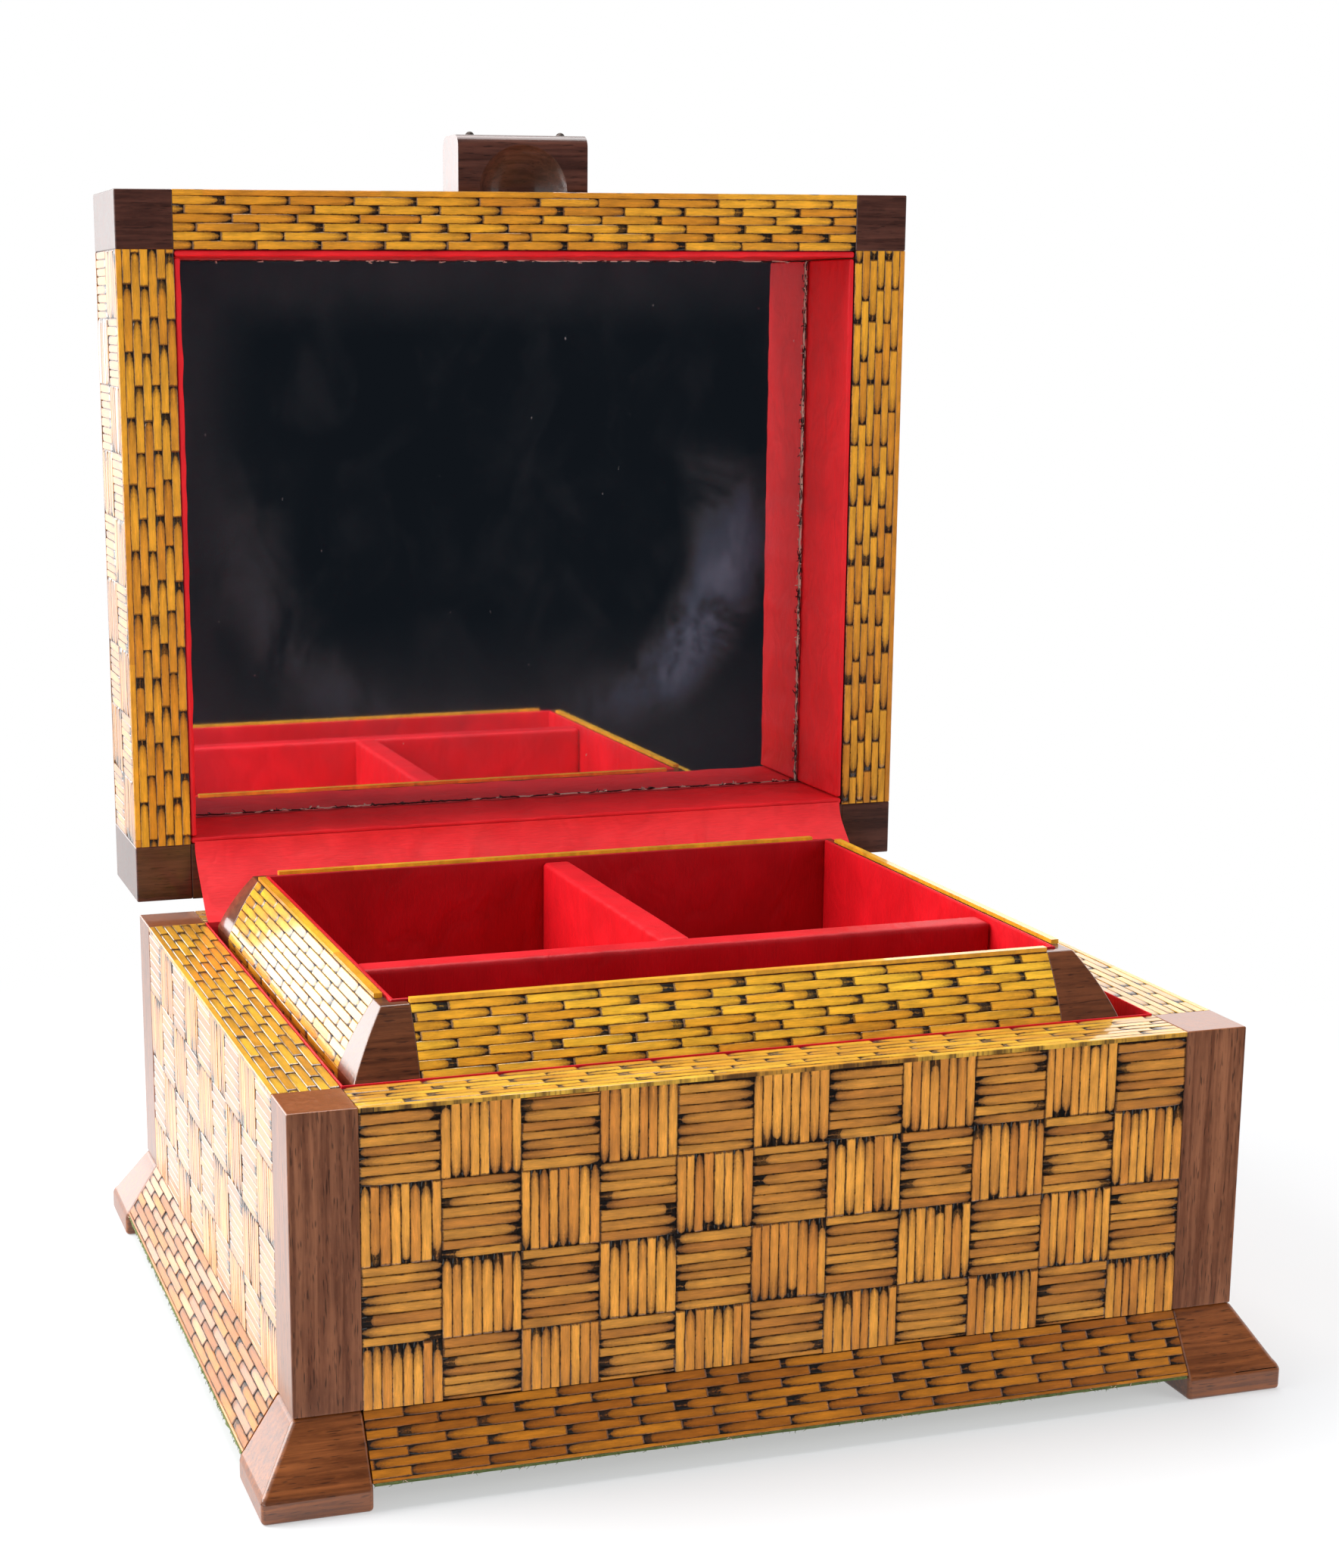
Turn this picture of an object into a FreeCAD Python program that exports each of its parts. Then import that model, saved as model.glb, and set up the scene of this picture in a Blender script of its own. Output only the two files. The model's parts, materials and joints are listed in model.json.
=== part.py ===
"""Hinged keepsake box with matchstick marquetry, a lift-out tray and a mirror in the lid.

Millimetres. X runs along the front, Y to the back, Z up. The origin is the centre of the base's
footprint at table level. The lid is modelled open, standing at a right angle to the rim.
"""

import FreeCAD, Part
import math
import os

# Outer sizes of the body, without the skirt
BOX_WIDTH = 243.0
BOX_DEPTH = 205.0
RIM_HEIGHT = 93.4

# Wood thicknesses
CORNER_SIDE = 16.6
VENEER = 1.2
FLOOR_BOARD = 5.0
SATIN_WALL = 0.5
SATIN_FLOOR = 0.6
FELT = 0.8

# Skirt and feet
SKIRT_TOP = 20.7
SKIRT_BOTTOM = 6.6
SKIRT_REACH = 8.9
FOOT_REACH = 9.6
FOOT_NOSE_OUT = 8.4
FOOT_NOSE_TOP = 7.5
FOOT_NOSE_BOTTOM = 5.2
FOOT_NOSE_BULGE = 0.24
FELT_SETBACK = 1.4
FELT_CLEARANCE = 0.2

# Lid
LID_DEPTH = 40.0
LID_TOP_BOARD = 3.2
RIM_GAP = 0.8
MIRROR_GLASS = 2.6
MIRROR_CARD = 1.0
MIRROR_CLEARANCE = 0.3
LID_PAD = 2.2
LID_PAD_SETBACK = 0.2

# Hinges
PIN_BACK = 2.6
PIN_RADIUS = 0.8
PIN_RUNNING_GAP = 0.05
PIN_OVERHANG = 0.5
KNUCKLE_RADIUS = 2.2
KNUCKLE_GAP = 0.3
LID_KNUCKLE = 13.0
HINGE_LENGTH = 30.0
HINGE_INSET = 21.9
LEAF_REACH = 11.0
LEAF = 1.0
LEAF_SPACE = 0.3
LEAF_RECESS_GAP = 0.05
SCREW_HEAD_RADIUS = 1.5
SCREW_RADIUS = 0.7
SCREW_HEAD_DEPTH = 0.9
SCREW_LENGTH = 9.0
SCREW_GAP = 0.05
SCREW_SPACING = 10.0
SCREW_FROM_PIN = 7.2

# Satin strip across the hinge
CLOTH = 0.4
CLOTH_SEAT_GAP = 0.3
CLOTH_SIDE_GAP = 1.0
CLOTH_TAIL = 8.0

# Handle on the lid's front
HANDLE_WIDTH = 39.8
HANDLE_REACH = 16.4
HANDLE_THICKNESS = 16.5
HANDLE_SETBACK = 4.2
HANDLE_EDGE_RADIUS = 3.6
SCOOP_RADIUS = 13.6
SCOOP_DEPTH = 7.0
HANDLE_PIN_INSET = 5.9
HANDLE_PIN_RADIUS = 0.9
HANDLE_PIN_HEAD_RADIUS = 1.4
HANDLE_PIN_HEAD = 1.2
HANDLE_PIN_IN_RAIL = 9.0

# Tray
TRAY_RISE = 15.5
TRAY_HEIGHT = 34.9
TRAY_GAP_X = 5.2
TRAY_GAP_Y = 1.5
TRAY_OFFSET_X = -2.4
TRAY_FLARE = 9.0
TRAY_FLARE_BELOW_RIM = 0.7
TRAY_FLARE_BULGE = 0.6
TRAY_RIM = 3.0
TRAY_CORNER = 16.2
TRAY_FLOOR = 3.0
TRAY_PAD = 1.2
TRAY_PAD_DROP = 0.3
DIVIDER = 8.6
DIVIDER_DROP = 0.5
DIVIDER_EDGE_RADIUS = 1.8
FRONT_COMPARTMENT = 31.6
LEDGE_WIDTH = 13.0
LEDGE_HEIGHT = 6.0

# Working allowances: how far a cutter or a joining piece runs past a face, and a match of heights
OVERSHOOT = 1.0
SAME_HEIGHT = 0.01

# Derived places
HALF_W = BOX_WIDTH / 2
HALF_D = BOX_DEPTH / 2
INNER_W = HALF_W - CORNER_SIDE
INNER_D = HALF_D - CORNER_SIDE
LINED_W = INNER_W - SATIN_WALL
LINED_D = INNER_D - SATIN_WALL
FLOOR_TOP = SKIRT_BOTTOM + FLOOR_BOARD
WALL_TOP = RIM_HEIGHT - VENEER
PIN_Y = HALF_D + PIN_BACK
PIN_Z = RIM_HEIGHT + RIM_GAP / 2
LID_FACE_Y = PIN_Y + RIM_GAP / 2
LID_EDGE_Z = PIN_Z + PIN_BACK
LID_BACK = LID_DEPTH - VENEER
LID_INNER_V0 = CORNER_SIDE
LID_INNER_V1 = BOX_DEPTH - CORNER_SIDE
CARD_BACK = LID_BACK - LID_TOP_BOARD
MIRROR_BACK = CARD_BACK - MIRROR_CARD
LID_RECESS = MIRROR_BACK - MIRROR_GLASS
HINGE_X = INNER_W - HINGE_INSET - HINGE_LENGTH / 2
HINGE_XS = (-HINGE_X, HINGE_X)
SCREW_OFFSETS = (-SCREW_SPACING, 0.0, SCREW_SPACING)
TRAY_TOP = RIM_HEIGHT + TRAY_RISE
TRAY_BOTTOM = TRAY_TOP - TRAY_HEIGHT
TRAY_FLARE_DROP = TRAY_RISE + TRAY_FLARE_BELOW_RIM
TRAY_HALF_W = LINED_W - TRAY_GAP_X
TRAY_HALF_D = LINED_D - TRAY_GAP_Y
TRAY_IN_W = TRAY_HALF_W - TRAY_FLARE - TRAY_RIM
TRAY_IN_D = TRAY_HALF_D - TRAY_FLARE - TRAY_RIM
PAD_IN_W = TRAY_IN_W - TRAY_PAD
PAD_IN_D = TRAY_IN_D - TRAY_PAD
TRAY_FLOOR_TOP = TRAY_BOTTOM + TRAY_FLOOR
TRAY_SATIN_TOP = TRAY_FLOOR_TOP + SATIN_FLOOR
DIVIDER_Y0 = -PAD_IN_D + FRONT_COMPARTMENT
DIVIDER_Y1 = DIVIDER_Y0 + DIVIDER
DIVIDER_TOP = TRAY_TOP - DIVIDER_DROP

X_AXIS = FreeCAD.Vector(1, 0, 0)
Y_AXIS = FreeCAD.Vector(0, 1, 0)
Z_AXIS = FreeCAD.Vector(0, 0, 1)
SIDES = (("left", -1), ("right", 1))
ENDS = (("front", -1), ("back", 1))


def box(x0, x1, y0, y1, z0, z1):
    """A block between two corners, given in either order along each axis."""
    low = FreeCAD.Vector(min(x0, x1), min(y0, y1), min(z0, z1))
    return Part.makeBox(abs(x1 - x0), abs(y1 - y0), abs(z1 - z0), low)


def lid_box(x0, x1, v0, v1, w0, w1):
    """A block of the open lid: v is the distance from its hinge edge, w from its rim plane."""
    return box(x0, x1, LID_FACE_Y + w0, LID_FACE_Y + w1, LID_EDGE_Z + v0, LID_EDGE_Z + v1)


def rod(centre, axis, radius, length):
    """A round bar from a centre point along an axis."""
    return Part.makeCylinder(radius, length, centre, axis)


def section_face(edges):
    """A flat face inside a closed loop of edges."""
    return Part.Face(Part.Wire(edges))


def polygon_along_x(points, x0, x1):
    """A prism along X whose section is a polygon of (y, z) points."""
    corners = [FreeCAD.Vector(x0, y, z) for y, z in points]
    face = Part.Face(Part.makePolygon(corners + corners[:1]))
    return face.extrude(X_AXIS * (x1 - x0))


def outline_prism(steps, along_x, edge, sign, a, b):
    """A moulding whose section is given by (outward offset, z) steps from an outer edge.

    A step of three points is an arc through them. The moulding lies along X at the Y edge, or
    along Y at the X edge, on the side that sign says, and runs from a to b.
    """
    def place(offset, z):
        out = sign * (edge + offset)
        return FreeCAD.Vector(a, out, z) if along_x else FreeCAD.Vector(out, a, z)

    edges = []
    for step in steps:
        points = [place(*p) for p in step]
        if len(points) == 3:
            edges.append(Part.Arc(*points).toShape())
        else:
            edges.append(Part.LineSegment(*points).toShape())
    direction = X_AXIS if along_x else Y_AXIS
    return section_face(edges).extrude(direction * (b - a))


def corner_moulding(steps, edge_x, sign_x, edge_y, sign_y, start_x, start_y, reach):
    """A mitred corner: the part of two crossing mouldings that both of them fill."""
    end_x = sign_x * (edge_x + reach)
    end_y = sign_y * (edge_y + reach)
    across = outline_prism(steps, True, edge_y, sign_y, sign_x * start_x, end_x)
    along = outline_prism(steps, False, edge_x, sign_x, sign_y * start_y, end_y)
    return across.common(along)


def base_floor():
    return box(-INNER_W, INNER_W, -INNER_D, INNER_D, SKIRT_BOTTOM, FLOOR_TOP)


def base_posts():
    """Four full-height posts that stand on the feet."""
    made = {}
    for end, sy in ENDS:
        for side, sx in SIDES:
            post = box(sx * INNER_W, sx * HALF_W, sy * INNER_D, sy * HALF_D, SKIRT_TOP, RIM_HEIGHT)
            made[f"base_post_{end}_{side}"] = post
    return made


def hinge_screw(point, axis, grow):
    """A countersunk screw whose head is flush at the point; grow widens it into its own hole."""
    head = Part.makeCone(
        SCREW_HEAD_RADIUS + grow, SCREW_RADIUS + grow, SCREW_HEAD_DEPTH, point, axis
    )
    shank_start = point + axis * SCREW_HEAD_DEPTH
    shank = rod(shank_start, axis, SCREW_RADIUS + grow, SCREW_LENGTH - SCREW_HEAD_DEPTH + grow)
    return head.fuse(shank).removeSplitter()


def base_screw_places():
    """Screw heads on the top faces of the base leaves."""
    top = PIN_Z - LEAF_SPACE / 2
    return [
        FreeCAD.Vector(x + dx, PIN_Y - SCREW_FROM_PIN, top) for x in HINGE_XS for dx in SCREW_OFFSETS
    ]


def lid_screw_places():
    """Screw heads on the front faces of the lid leaves."""
    front = PIN_Y + LEAF_SPACE / 2
    return [
        FreeCAD.Vector(x + dx, front, PIN_Z + SCREW_FROM_PIN) for x in HINGE_XS for dx in SCREW_OFFSETS
    ]


def base_screws(grow):
    return [hinge_screw(p, -Z_AXIS, grow) for p in base_screw_places()]


def lid_screws(grow):
    return [hinge_screw(p, Y_AXIS, grow) for p in lid_screw_places()]


def base_leaf_recesses():
    """Shallow housings for the base leaves, open to the back of the rim."""
    low = PIN_Z - LEAF_SPACE / 2 - LEAF
    half = HINGE_LENGTH / 2 + LEAF_RECESS_GAP
    start = PIN_Y - LEAF_REACH - LEAF_RECESS_GAP
    past_back = HALF_D + OVERSHOOT
    past_rim = RIM_HEIGHT + OVERSHOOT
    return [box(x - half, x + half, start, past_back, low, past_rim) for x in HINGE_XS]


def lid_leaf_recesses():
    """The same housings in the lid's rim face."""
    deep = PIN_Y + LEAF_SPACE / 2 + LEAF
    half = HINGE_LENGTH / 2 + LEAF_RECESS_GAP
    high = PIN_Z + LEAF_REACH + LEAF_RECESS_GAP
    past_face = LID_FACE_Y - OVERSHOOT
    past_edge = LID_EDGE_Z - OVERSHOOT
    return [box(x - half, x + half, past_face, deep, past_edge, high) for x in HINGE_XS]


def cut_all(shape, tools):
    for tool in tools:
        if shape.BoundBox.intersect(tool.BoundBox):
            shape = shape.cut(tool)
    return shape


def base_walls():
    """Wall boards between the posts; the back one takes the hinge screws."""
    outer_d = HALF_D - VENEER
    outer_w = HALF_W - VENEER
    made = {}
    for end, sy in ENDS:
        board = box(-INNER_W, INNER_W, sy * INNER_D, sy * outer_d, SKIRT_BOTTOM, WALL_TOP)
        made[f"base_wall_{end}"] = cut_all(board, base_screws(SCREW_GAP))
    for side, sx in SIDES:
        made[f"base_wall_{side}"] = box(
            sx * INNER_W, sx * outer_w, -INNER_D, INNER_D, SKIRT_BOTTOM, WALL_TOP
        )
    return made


def base_marquetry():
    """Tile panels on the four faces, from the skirt up to the rim's own bands."""
    outer_d = HALF_D - VENEER
    outer_w = HALF_W - VENEER
    made = {}
    for end, sy in ENDS:
        made[f"base_marquetry_{end}"] = box(
            -INNER_W, INNER_W, sy * outer_d, sy * HALF_D, SKIRT_TOP, WALL_TOP
        )
    for side, sx in SIDES:
        made[f"base_marquetry_{side}"] = box(
            sx * outer_w, sx * HALF_W, -INNER_D, INNER_D, SKIRT_TOP, WALL_TOP
        )
    return made


def base_rim_marquetry():
    """Bands on top of the walls, with the hinge housings cut into the back one."""
    cutters = base_leaf_recesses() + base_screws(SCREW_GAP)
    bands = []
    for sy in (-1, 1):
        band = box(-INNER_W, INNER_W, sy * INNER_D, sy * HALF_D, WALL_TOP, RIM_HEIGHT)
        bands.append(cut_all(band, cutters))
    for sx in (-1, 1):
        bands.append(box(sx * INNER_W, sx * HALF_W, -INNER_D, INNER_D, WALL_TOP, RIM_HEIGHT))
    return Part.makeCompound(bands)


def skirts():
    """Sloping mouldings against the wall boards, between the feet."""
    steps = [
        ((-VENEER, SKIRT_BOTTOM), (SKIRT_REACH, SKIRT_BOTTOM)),
        ((SKIRT_REACH, SKIRT_BOTTOM), (0, SKIRT_TOP)),
        ((0, SKIRT_TOP), (-VENEER, SKIRT_TOP)),
        ((-VENEER, SKIRT_TOP), (-VENEER, SKIRT_BOTTOM)),
    ]
    made = {}
    for end, sy in ENDS:
        made[f"skirt_{end}"] = outline_prism(steps, True, HALF_D, sy, -INNER_W, INNER_W)
    for side, sx in SIDES:
        made[f"skirt_{side}"] = outline_prism(steps, False, HALF_W, sx, -INNER_D, INNER_D)
    return made


def feet():
    """Corner feet: the skirt's slope, mitred, over a rounded toe that reaches the table."""
    nose_mid_out = (FOOT_NOSE_OUT + FOOT_REACH) / 2 + FOOT_NOSE_BULGE
    nose_mid_z = (FOOT_NOSE_TOP + FOOT_NOSE_BOTTOM) / 2
    steps = [
        ((-CORNER_SIDE, 0), (FOOT_REACH, 0)),
        ((FOOT_REACH, 0), (FOOT_REACH, FOOT_NOSE_BOTTOM)),
        ((FOOT_REACH, FOOT_NOSE_BOTTOM), (nose_mid_out, nose_mid_z), (FOOT_NOSE_OUT, FOOT_NOSE_TOP)),
        ((FOOT_NOSE_OUT, FOOT_NOSE_TOP), (0, SKIRT_TOP)),
        ((0, SKIRT_TOP), (-CORNER_SIDE, SKIRT_TOP)),
        ((-CORNER_SIDE, SKIRT_TOP), (-CORNER_SIDE, 0)),
    ]
    made = {}
    for end, sy in ENDS:
        for side, sx in SIDES:
            made[f"foot_{end}_{side}"] = corner_moulding(
                steps, HALF_W, sx, HALF_D, sy, INNER_W, INNER_D, FOOT_REACH
            )
    return made


def base_felt():
    """Felt under the floor and the skirts, cut out round the feet."""
    reach = SKIRT_REACH - FELT_SETBACK
    clear_w = INNER_W - FELT_CLEARANCE
    clear_d = INNER_D - FELT_CLEARANCE
    low = SKIRT_BOTTOM - FELT
    lengthwise = box(-clear_w, clear_w, -HALF_D - reach, HALF_D + reach, low, SKIRT_BOTTOM)
    crosswise = box(-HALF_W - reach, HALF_W + reach, -clear_d, clear_d, low, SKIRT_BOTTOM)
    return lengthwise.fuse(crosswise).removeSplitter()


def base_lining():
    """Satin on the floor board and on the four walls, up to the rim."""
    floor_top = FLOOR_TOP + SATIN_FLOOR
    pieces = [box(-INNER_W, INNER_W, -INNER_D, INNER_D, FLOOR_TOP, floor_top)]
    for sy in (-1, 1):
        pieces.append(box(-INNER_W, INNER_W, sy * LINED_D, sy * INNER_D, floor_top, RIM_HEIGHT))
    for sx in (-1, 1):
        pieces.append(box(sx * LINED_W, sx * INNER_W, -LINED_D, LINED_D, floor_top, RIM_HEIGHT))
    return Part.makeCompound(pieces)


def tray_ledges():
    """Two strips on the side walls that carry the tray."""
    low = TRAY_BOTTOM - LEDGE_HEIGHT
    return Part.makeCompound(
        [box(sx * (LINED_W - LEDGE_WIDTH), sx * LINED_W, -LINED_D, LINED_D, low, TRAY_BOTTOM)
         for sx in (-1, 1)]
    )


def knuckle(x0, x1):
    """A stretch of hinge barrel round the pin."""
    return rod(FreeCAD.Vector(x0, PIN_Y, PIN_Z), X_AXIS, KNUCKLE_RADIUS, x1 - x0)


def hinge_leaf(leaf, spans, screws):
    """A leaf with its knuckles, bored for the pin and drilled for the screws."""
    bore_start = FreeCAD.Vector(leaf.BoundBox.XMin - OVERSHOOT, PIN_Y, PIN_Z)
    bore_length = leaf.BoundBox.XLength + 2 * OVERSHOOT
    bore = rod(bore_start, X_AXIS, PIN_RADIUS + PIN_RUNNING_GAP, bore_length)
    for x0, x1 in spans:
        leaf = leaf.fuse(knuckle(x0, x1))
    return cut_all(leaf.removeSplitter().cut(bore), screws)


def base_hinge_leaves():
    """Leaves let into the base's back rim; each has the two outer knuckles."""
    high = PIN_Z - LEAF_SPACE / 2
    half = HINGE_LENGTH / 2
    inner = LID_KNUCKLE / 2 + KNUCKLE_GAP
    screws = base_screws(SCREW_GAP)
    leaves = []
    for x in HINGE_XS:
        plate = box(x - half, x + half, PIN_Y - LEAF_REACH, HALF_D, high - LEAF, high)
        spans = ((x - half, x - inner), (x + inner, x + half))
        for x0, x1 in spans:
            plate = plate.fuse(box(x0, x1, HALF_D - OVERSHOOT, PIN_Y, high - LEAF, high))
        leaves.append(hinge_leaf(plate, spans, screws))
    return Part.makeCompound(leaves)


def lid_hinge_leaves():
    """Leaves let into the lid's rim; each has the middle knuckle."""
    front = PIN_Y + LEAF_SPACE / 2
    half = HINGE_LENGTH / 2
    inner = LID_KNUCKLE / 2
    screws = lid_screws(SCREW_GAP)
    leaves = []
    for x in HINGE_XS:
        plate = box(x - half, x + half, front, front + LEAF, LID_EDGE_Z, PIN_Z + LEAF_REACH)
        tongue_top = LID_EDGE_Z + OVERSHOOT
        tongue = box(x - inner, x + inner, front, front + LEAF, PIN_Z, tongue_top)
        leaves.append(hinge_leaf(plate.fuse(tongue), ((x - inner, x + inner),), screws))
    return Part.makeCompound(leaves)


def hinge_pins():
    half = HINGE_LENGTH / 2 + PIN_OVERHANG
    return Part.makeCompound(
        [rod(FreeCAD.Vector(x - half, PIN_Y, PIN_Z), X_AXIS, PIN_RADIUS, 2 * half) for x in HINGE_XS]
    )


def hinge_cloth():
    """Satin strip from the lid's inner edge to the base's inner edge, with a tail inside the base."""
    half = INNER_W - CLOTH_SIDE_GAP
    tail_y = LINED_D - CLOTH_SEAT_GAP
    bend_z = RIM_HEIGHT + CLOTH_SEAT_GAP
    lid_y = LID_FACE_Y - CLOTH_SEAT_GAP
    lid_z = LID_EDGE_Z + LID_INNER_V0
    slope = (lid_z - bend_z) / (lid_y - tail_y)
    above = CLOTH * math.hypot(1, slope)
    points = [
        (tail_y, RIM_HEIGHT - CLOTH_TAIL),
        (tail_y, bend_z),
        (lid_y, lid_z),
        (lid_y, lid_z + above),
        (tail_y - CLOTH, bend_z + above - CLOTH * slope),
        (tail_y - CLOTH, RIM_HEIGHT - CLOTH_TAIL),
    ]
    return polygon_along_x(points, -half, half)


def lid_corners():
    made = {}
    spans = (("rear", 0.0, CORNER_SIDE), ("fore", LID_INNER_V1, BOX_DEPTH))
    for end, v0, v1 in spans:
        for side, sx in SIDES:
            made[f"lid_corner_{end}_{side}"] = lid_box(sx * INNER_W, sx * HALF_W, v0, v1, 0, LID_DEPTH)
    return made


def handle_pin_places():
    """Pin heads on the handle's outer end."""
    y = LID_FACE_Y + HANDLE_SETBACK + HANDLE_THICKNESS / 2
    z = LID_EDGE_Z + BOX_DEPTH + HANDLE_REACH
    x = HANDLE_WIDTH / 2 - HANDLE_PIN_INSET
    return [FreeCAD.Vector(-x, y, z), FreeCAD.Vector(x, y, z)]


def handle_pin_shafts(grow):
    length = HANDLE_REACH + HANDLE_PIN_IN_RAIL + grow
    return [rod(p, -Z_AXIS, HANDLE_PIN_RADIUS + grow, length) for p in handle_pin_places()]


def handle_pins():
    """Two pins through the handle into the lid's front rail, with domed heads."""
    made = []
    dome_radius = (HANDLE_PIN_HEAD_RADIUS**2 + HANDLE_PIN_HEAD**2) / (2 * HANDLE_PIN_HEAD)
    for place, shaft in zip(handle_pin_places(), handle_pin_shafts(0.0)):
        ball = Part.makeSphere(dome_radius, place + Z_AXIS * (HANDLE_PIN_HEAD - dome_radius))
        keep = rod(place, Z_AXIS, 2 * dome_radius, HANDLE_PIN_HEAD)
        made.append(ball.common(keep).fuse(shaft).removeSplitter())
    return Part.makeCompound(made)


def lid_rails():
    """Rails between the corner blocks, from the rim bands to the top marquetry."""
    made = {}
    v_in = BOX_DEPTH - VENEER
    rear = lid_box(-INNER_W, INNER_W, VENEER, LID_INNER_V0, VENEER, LID_BACK)
    made["lid_rail_rear"] = cut_all(rear, lid_screws(SCREW_GAP))
    fore = lid_box(-INNER_W, INNER_W, LID_INNER_V1, v_in, VENEER, LID_BACK)
    made["lid_rail_fore"] = cut_all(fore, handle_pin_shafts(SCREW_GAP))
    outer_w = HALF_W - VENEER
    for side, sx in SIDES:
        made[f"lid_rail_{side}"] = lid_box(
            sx * INNER_W, sx * outer_w, LID_INNER_V0, LID_INNER_V1, VENEER, LID_BACK
        )
    return made


def lid_side_marquetry():
    """Panels on the lid's four outer sides."""
    v_in = BOX_DEPTH - VENEER
    outer_w = HALF_W - VENEER
    fore = lid_box(-INNER_W, INNER_W, v_in, BOX_DEPTH, VENEER, LID_BACK)
    panels = [
        lid_box(-INNER_W, INNER_W, 0, VENEER, VENEER, LID_BACK),
        cut_all(fore, handle_pin_shafts(SCREW_GAP)),
    ]
    for sx in (-1, 1):
        panels.append(
            lid_box(sx * outer_w, sx * HALF_W, LID_INNER_V0, LID_INNER_V1, VENEER, LID_BACK)
        )
    return Part.makeCompound(panels)


def lid_rim_marquetry():
    """Bands on the lid's rim, with the hinge housings cut into the rear one."""
    cutters = lid_leaf_recesses() + lid_screws(SCREW_GAP)
    rear = lid_box(-INNER_W, INNER_W, 0, LID_INNER_V0, 0, VENEER)
    bands = [
        cut_all(rear, cutters),
        lid_box(-INNER_W, INNER_W, LID_INNER_V1, BOX_DEPTH, 0, VENEER),
    ]
    for sx in (-1, 1):
        bands.append(lid_box(sx * INNER_W, sx * HALF_W, LID_INNER_V0, LID_INNER_V1, 0, VENEER))
    return Part.makeCompound(bands)


def lid_top_marquetry():
    """The tile field on the lid's top, notched round the corner blocks."""
    lengthwise = lid_box(-INNER_W, INNER_W, 0, BOX_DEPTH, LID_BACK, LID_DEPTH)
    crosswise = lid_box(-HALF_W, HALF_W, LID_INNER_V0, LID_INNER_V1, LID_BACK, LID_DEPTH)
    return lengthwise.fuse(crosswise).removeSplitter()


def lid_layers():
    """Top board, card and mirror, stacked behind the recess."""
    c = MIRROR_CLEARANCE
    half = INNER_W - c
    v0 = LID_INNER_V0 + c
    v1 = LID_INNER_V1 - c
    return {
        "lid_top_board": lid_box(
            -INNER_W, INNER_W, LID_INNER_V0, LID_INNER_V1, CARD_BACK, LID_BACK
        ),
        "mirror_card": lid_box(-half, half, v0, v1, MIRROR_BACK, CARD_BACK),
        "lid_mirror": lid_box(-half, half, v0, v1, LID_RECESS, MIRROR_BACK),
    }


def lid_lining_pads():
    """Satin-covered pads on the recess walls, standing on the mirror."""
    w0 = LID_PAD_SETBACK
    inner = INNER_W - LID_PAD
    pads = [
        lid_box(-INNER_W, INNER_W, LID_INNER_V0, LID_INNER_V0 + LID_PAD, w0, LID_RECESS),
        lid_box(-INNER_W, INNER_W, LID_INNER_V1 - LID_PAD, LID_INNER_V1, w0, LID_RECESS),
    ]
    for sx in (-1, 1):
        pads.append(
            lid_box(
                sx * inner, sx * INNER_W, LID_INNER_V0 + LID_PAD, LID_INNER_V1 - LID_PAD, w0, LID_RECESS
            )
        )
    return Part.makeCompound(pads)


def lid_handle():
    """Grip block with rounded outer edges and a dished finger scoop in its underside."""
    half = HANDLE_WIDTH / 2
    w1 = HANDLE_SETBACK + HANDLE_THICKNESS
    block = lid_box(-half, half, BOX_DEPTH, BOX_DEPTH + HANDLE_REACH, HANDLE_SETBACK, w1)
    top = LID_EDGE_Z + BOX_DEPTH + HANDLE_REACH
    outer = [
        e for e in block.Edges
        if abs(e.CenterOfMass.z - top) < SAME_HEIGHT and e.BoundBox.XLength > HANDLE_WIDTH / 2
    ]
    block = block.makeFillet(HANDLE_EDGE_RADIUS, outer)
    ball_radius = (SCOOP_RADIUS**2 + SCOOP_DEPTH**2) / (2 * SCOOP_DEPTH)
    underside = LID_FACE_Y + HANDLE_SETBACK
    centre = FreeCAD.Vector(0, underside + SCOOP_DEPTH - ball_radius, LID_EDGE_Z + BOX_DEPTH)
    block = block.cut(Part.makeSphere(ball_radius, centre))
    return cut_all(block, handle_pin_shafts(SCREW_GAP))


def tray_steps():
    """Section of a tray side: flat inside, sloped and slightly bulged outside."""
    top_edge = -TRAY_FLARE
    inside = -TRAY_FLARE - TRAY_RIM
    shoulder = TRAY_TOP - TRAY_FLARE_DROP
    run = math.hypot(TRAY_FLARE, TRAY_FLARE_DROP)
    mid_out = -TRAY_FLARE / 2 + TRAY_FLARE_BULGE * TRAY_FLARE_DROP / run
    mid_z = TRAY_TOP - TRAY_FLARE_DROP / 2 + TRAY_FLARE_BULGE * TRAY_FLARE / run
    return [
        ((inside, TRAY_BOTTOM), (0, TRAY_BOTTOM)),
        ((0, TRAY_BOTTOM), (0, shoulder)),
        ((0, shoulder), (mid_out, mid_z), (top_edge, TRAY_TOP)),
        ((top_edge, TRAY_TOP), (inside, TRAY_TOP)),
        ((inside, TRAY_TOP), (inside, TRAY_BOTTOM)),
    ]


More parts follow.
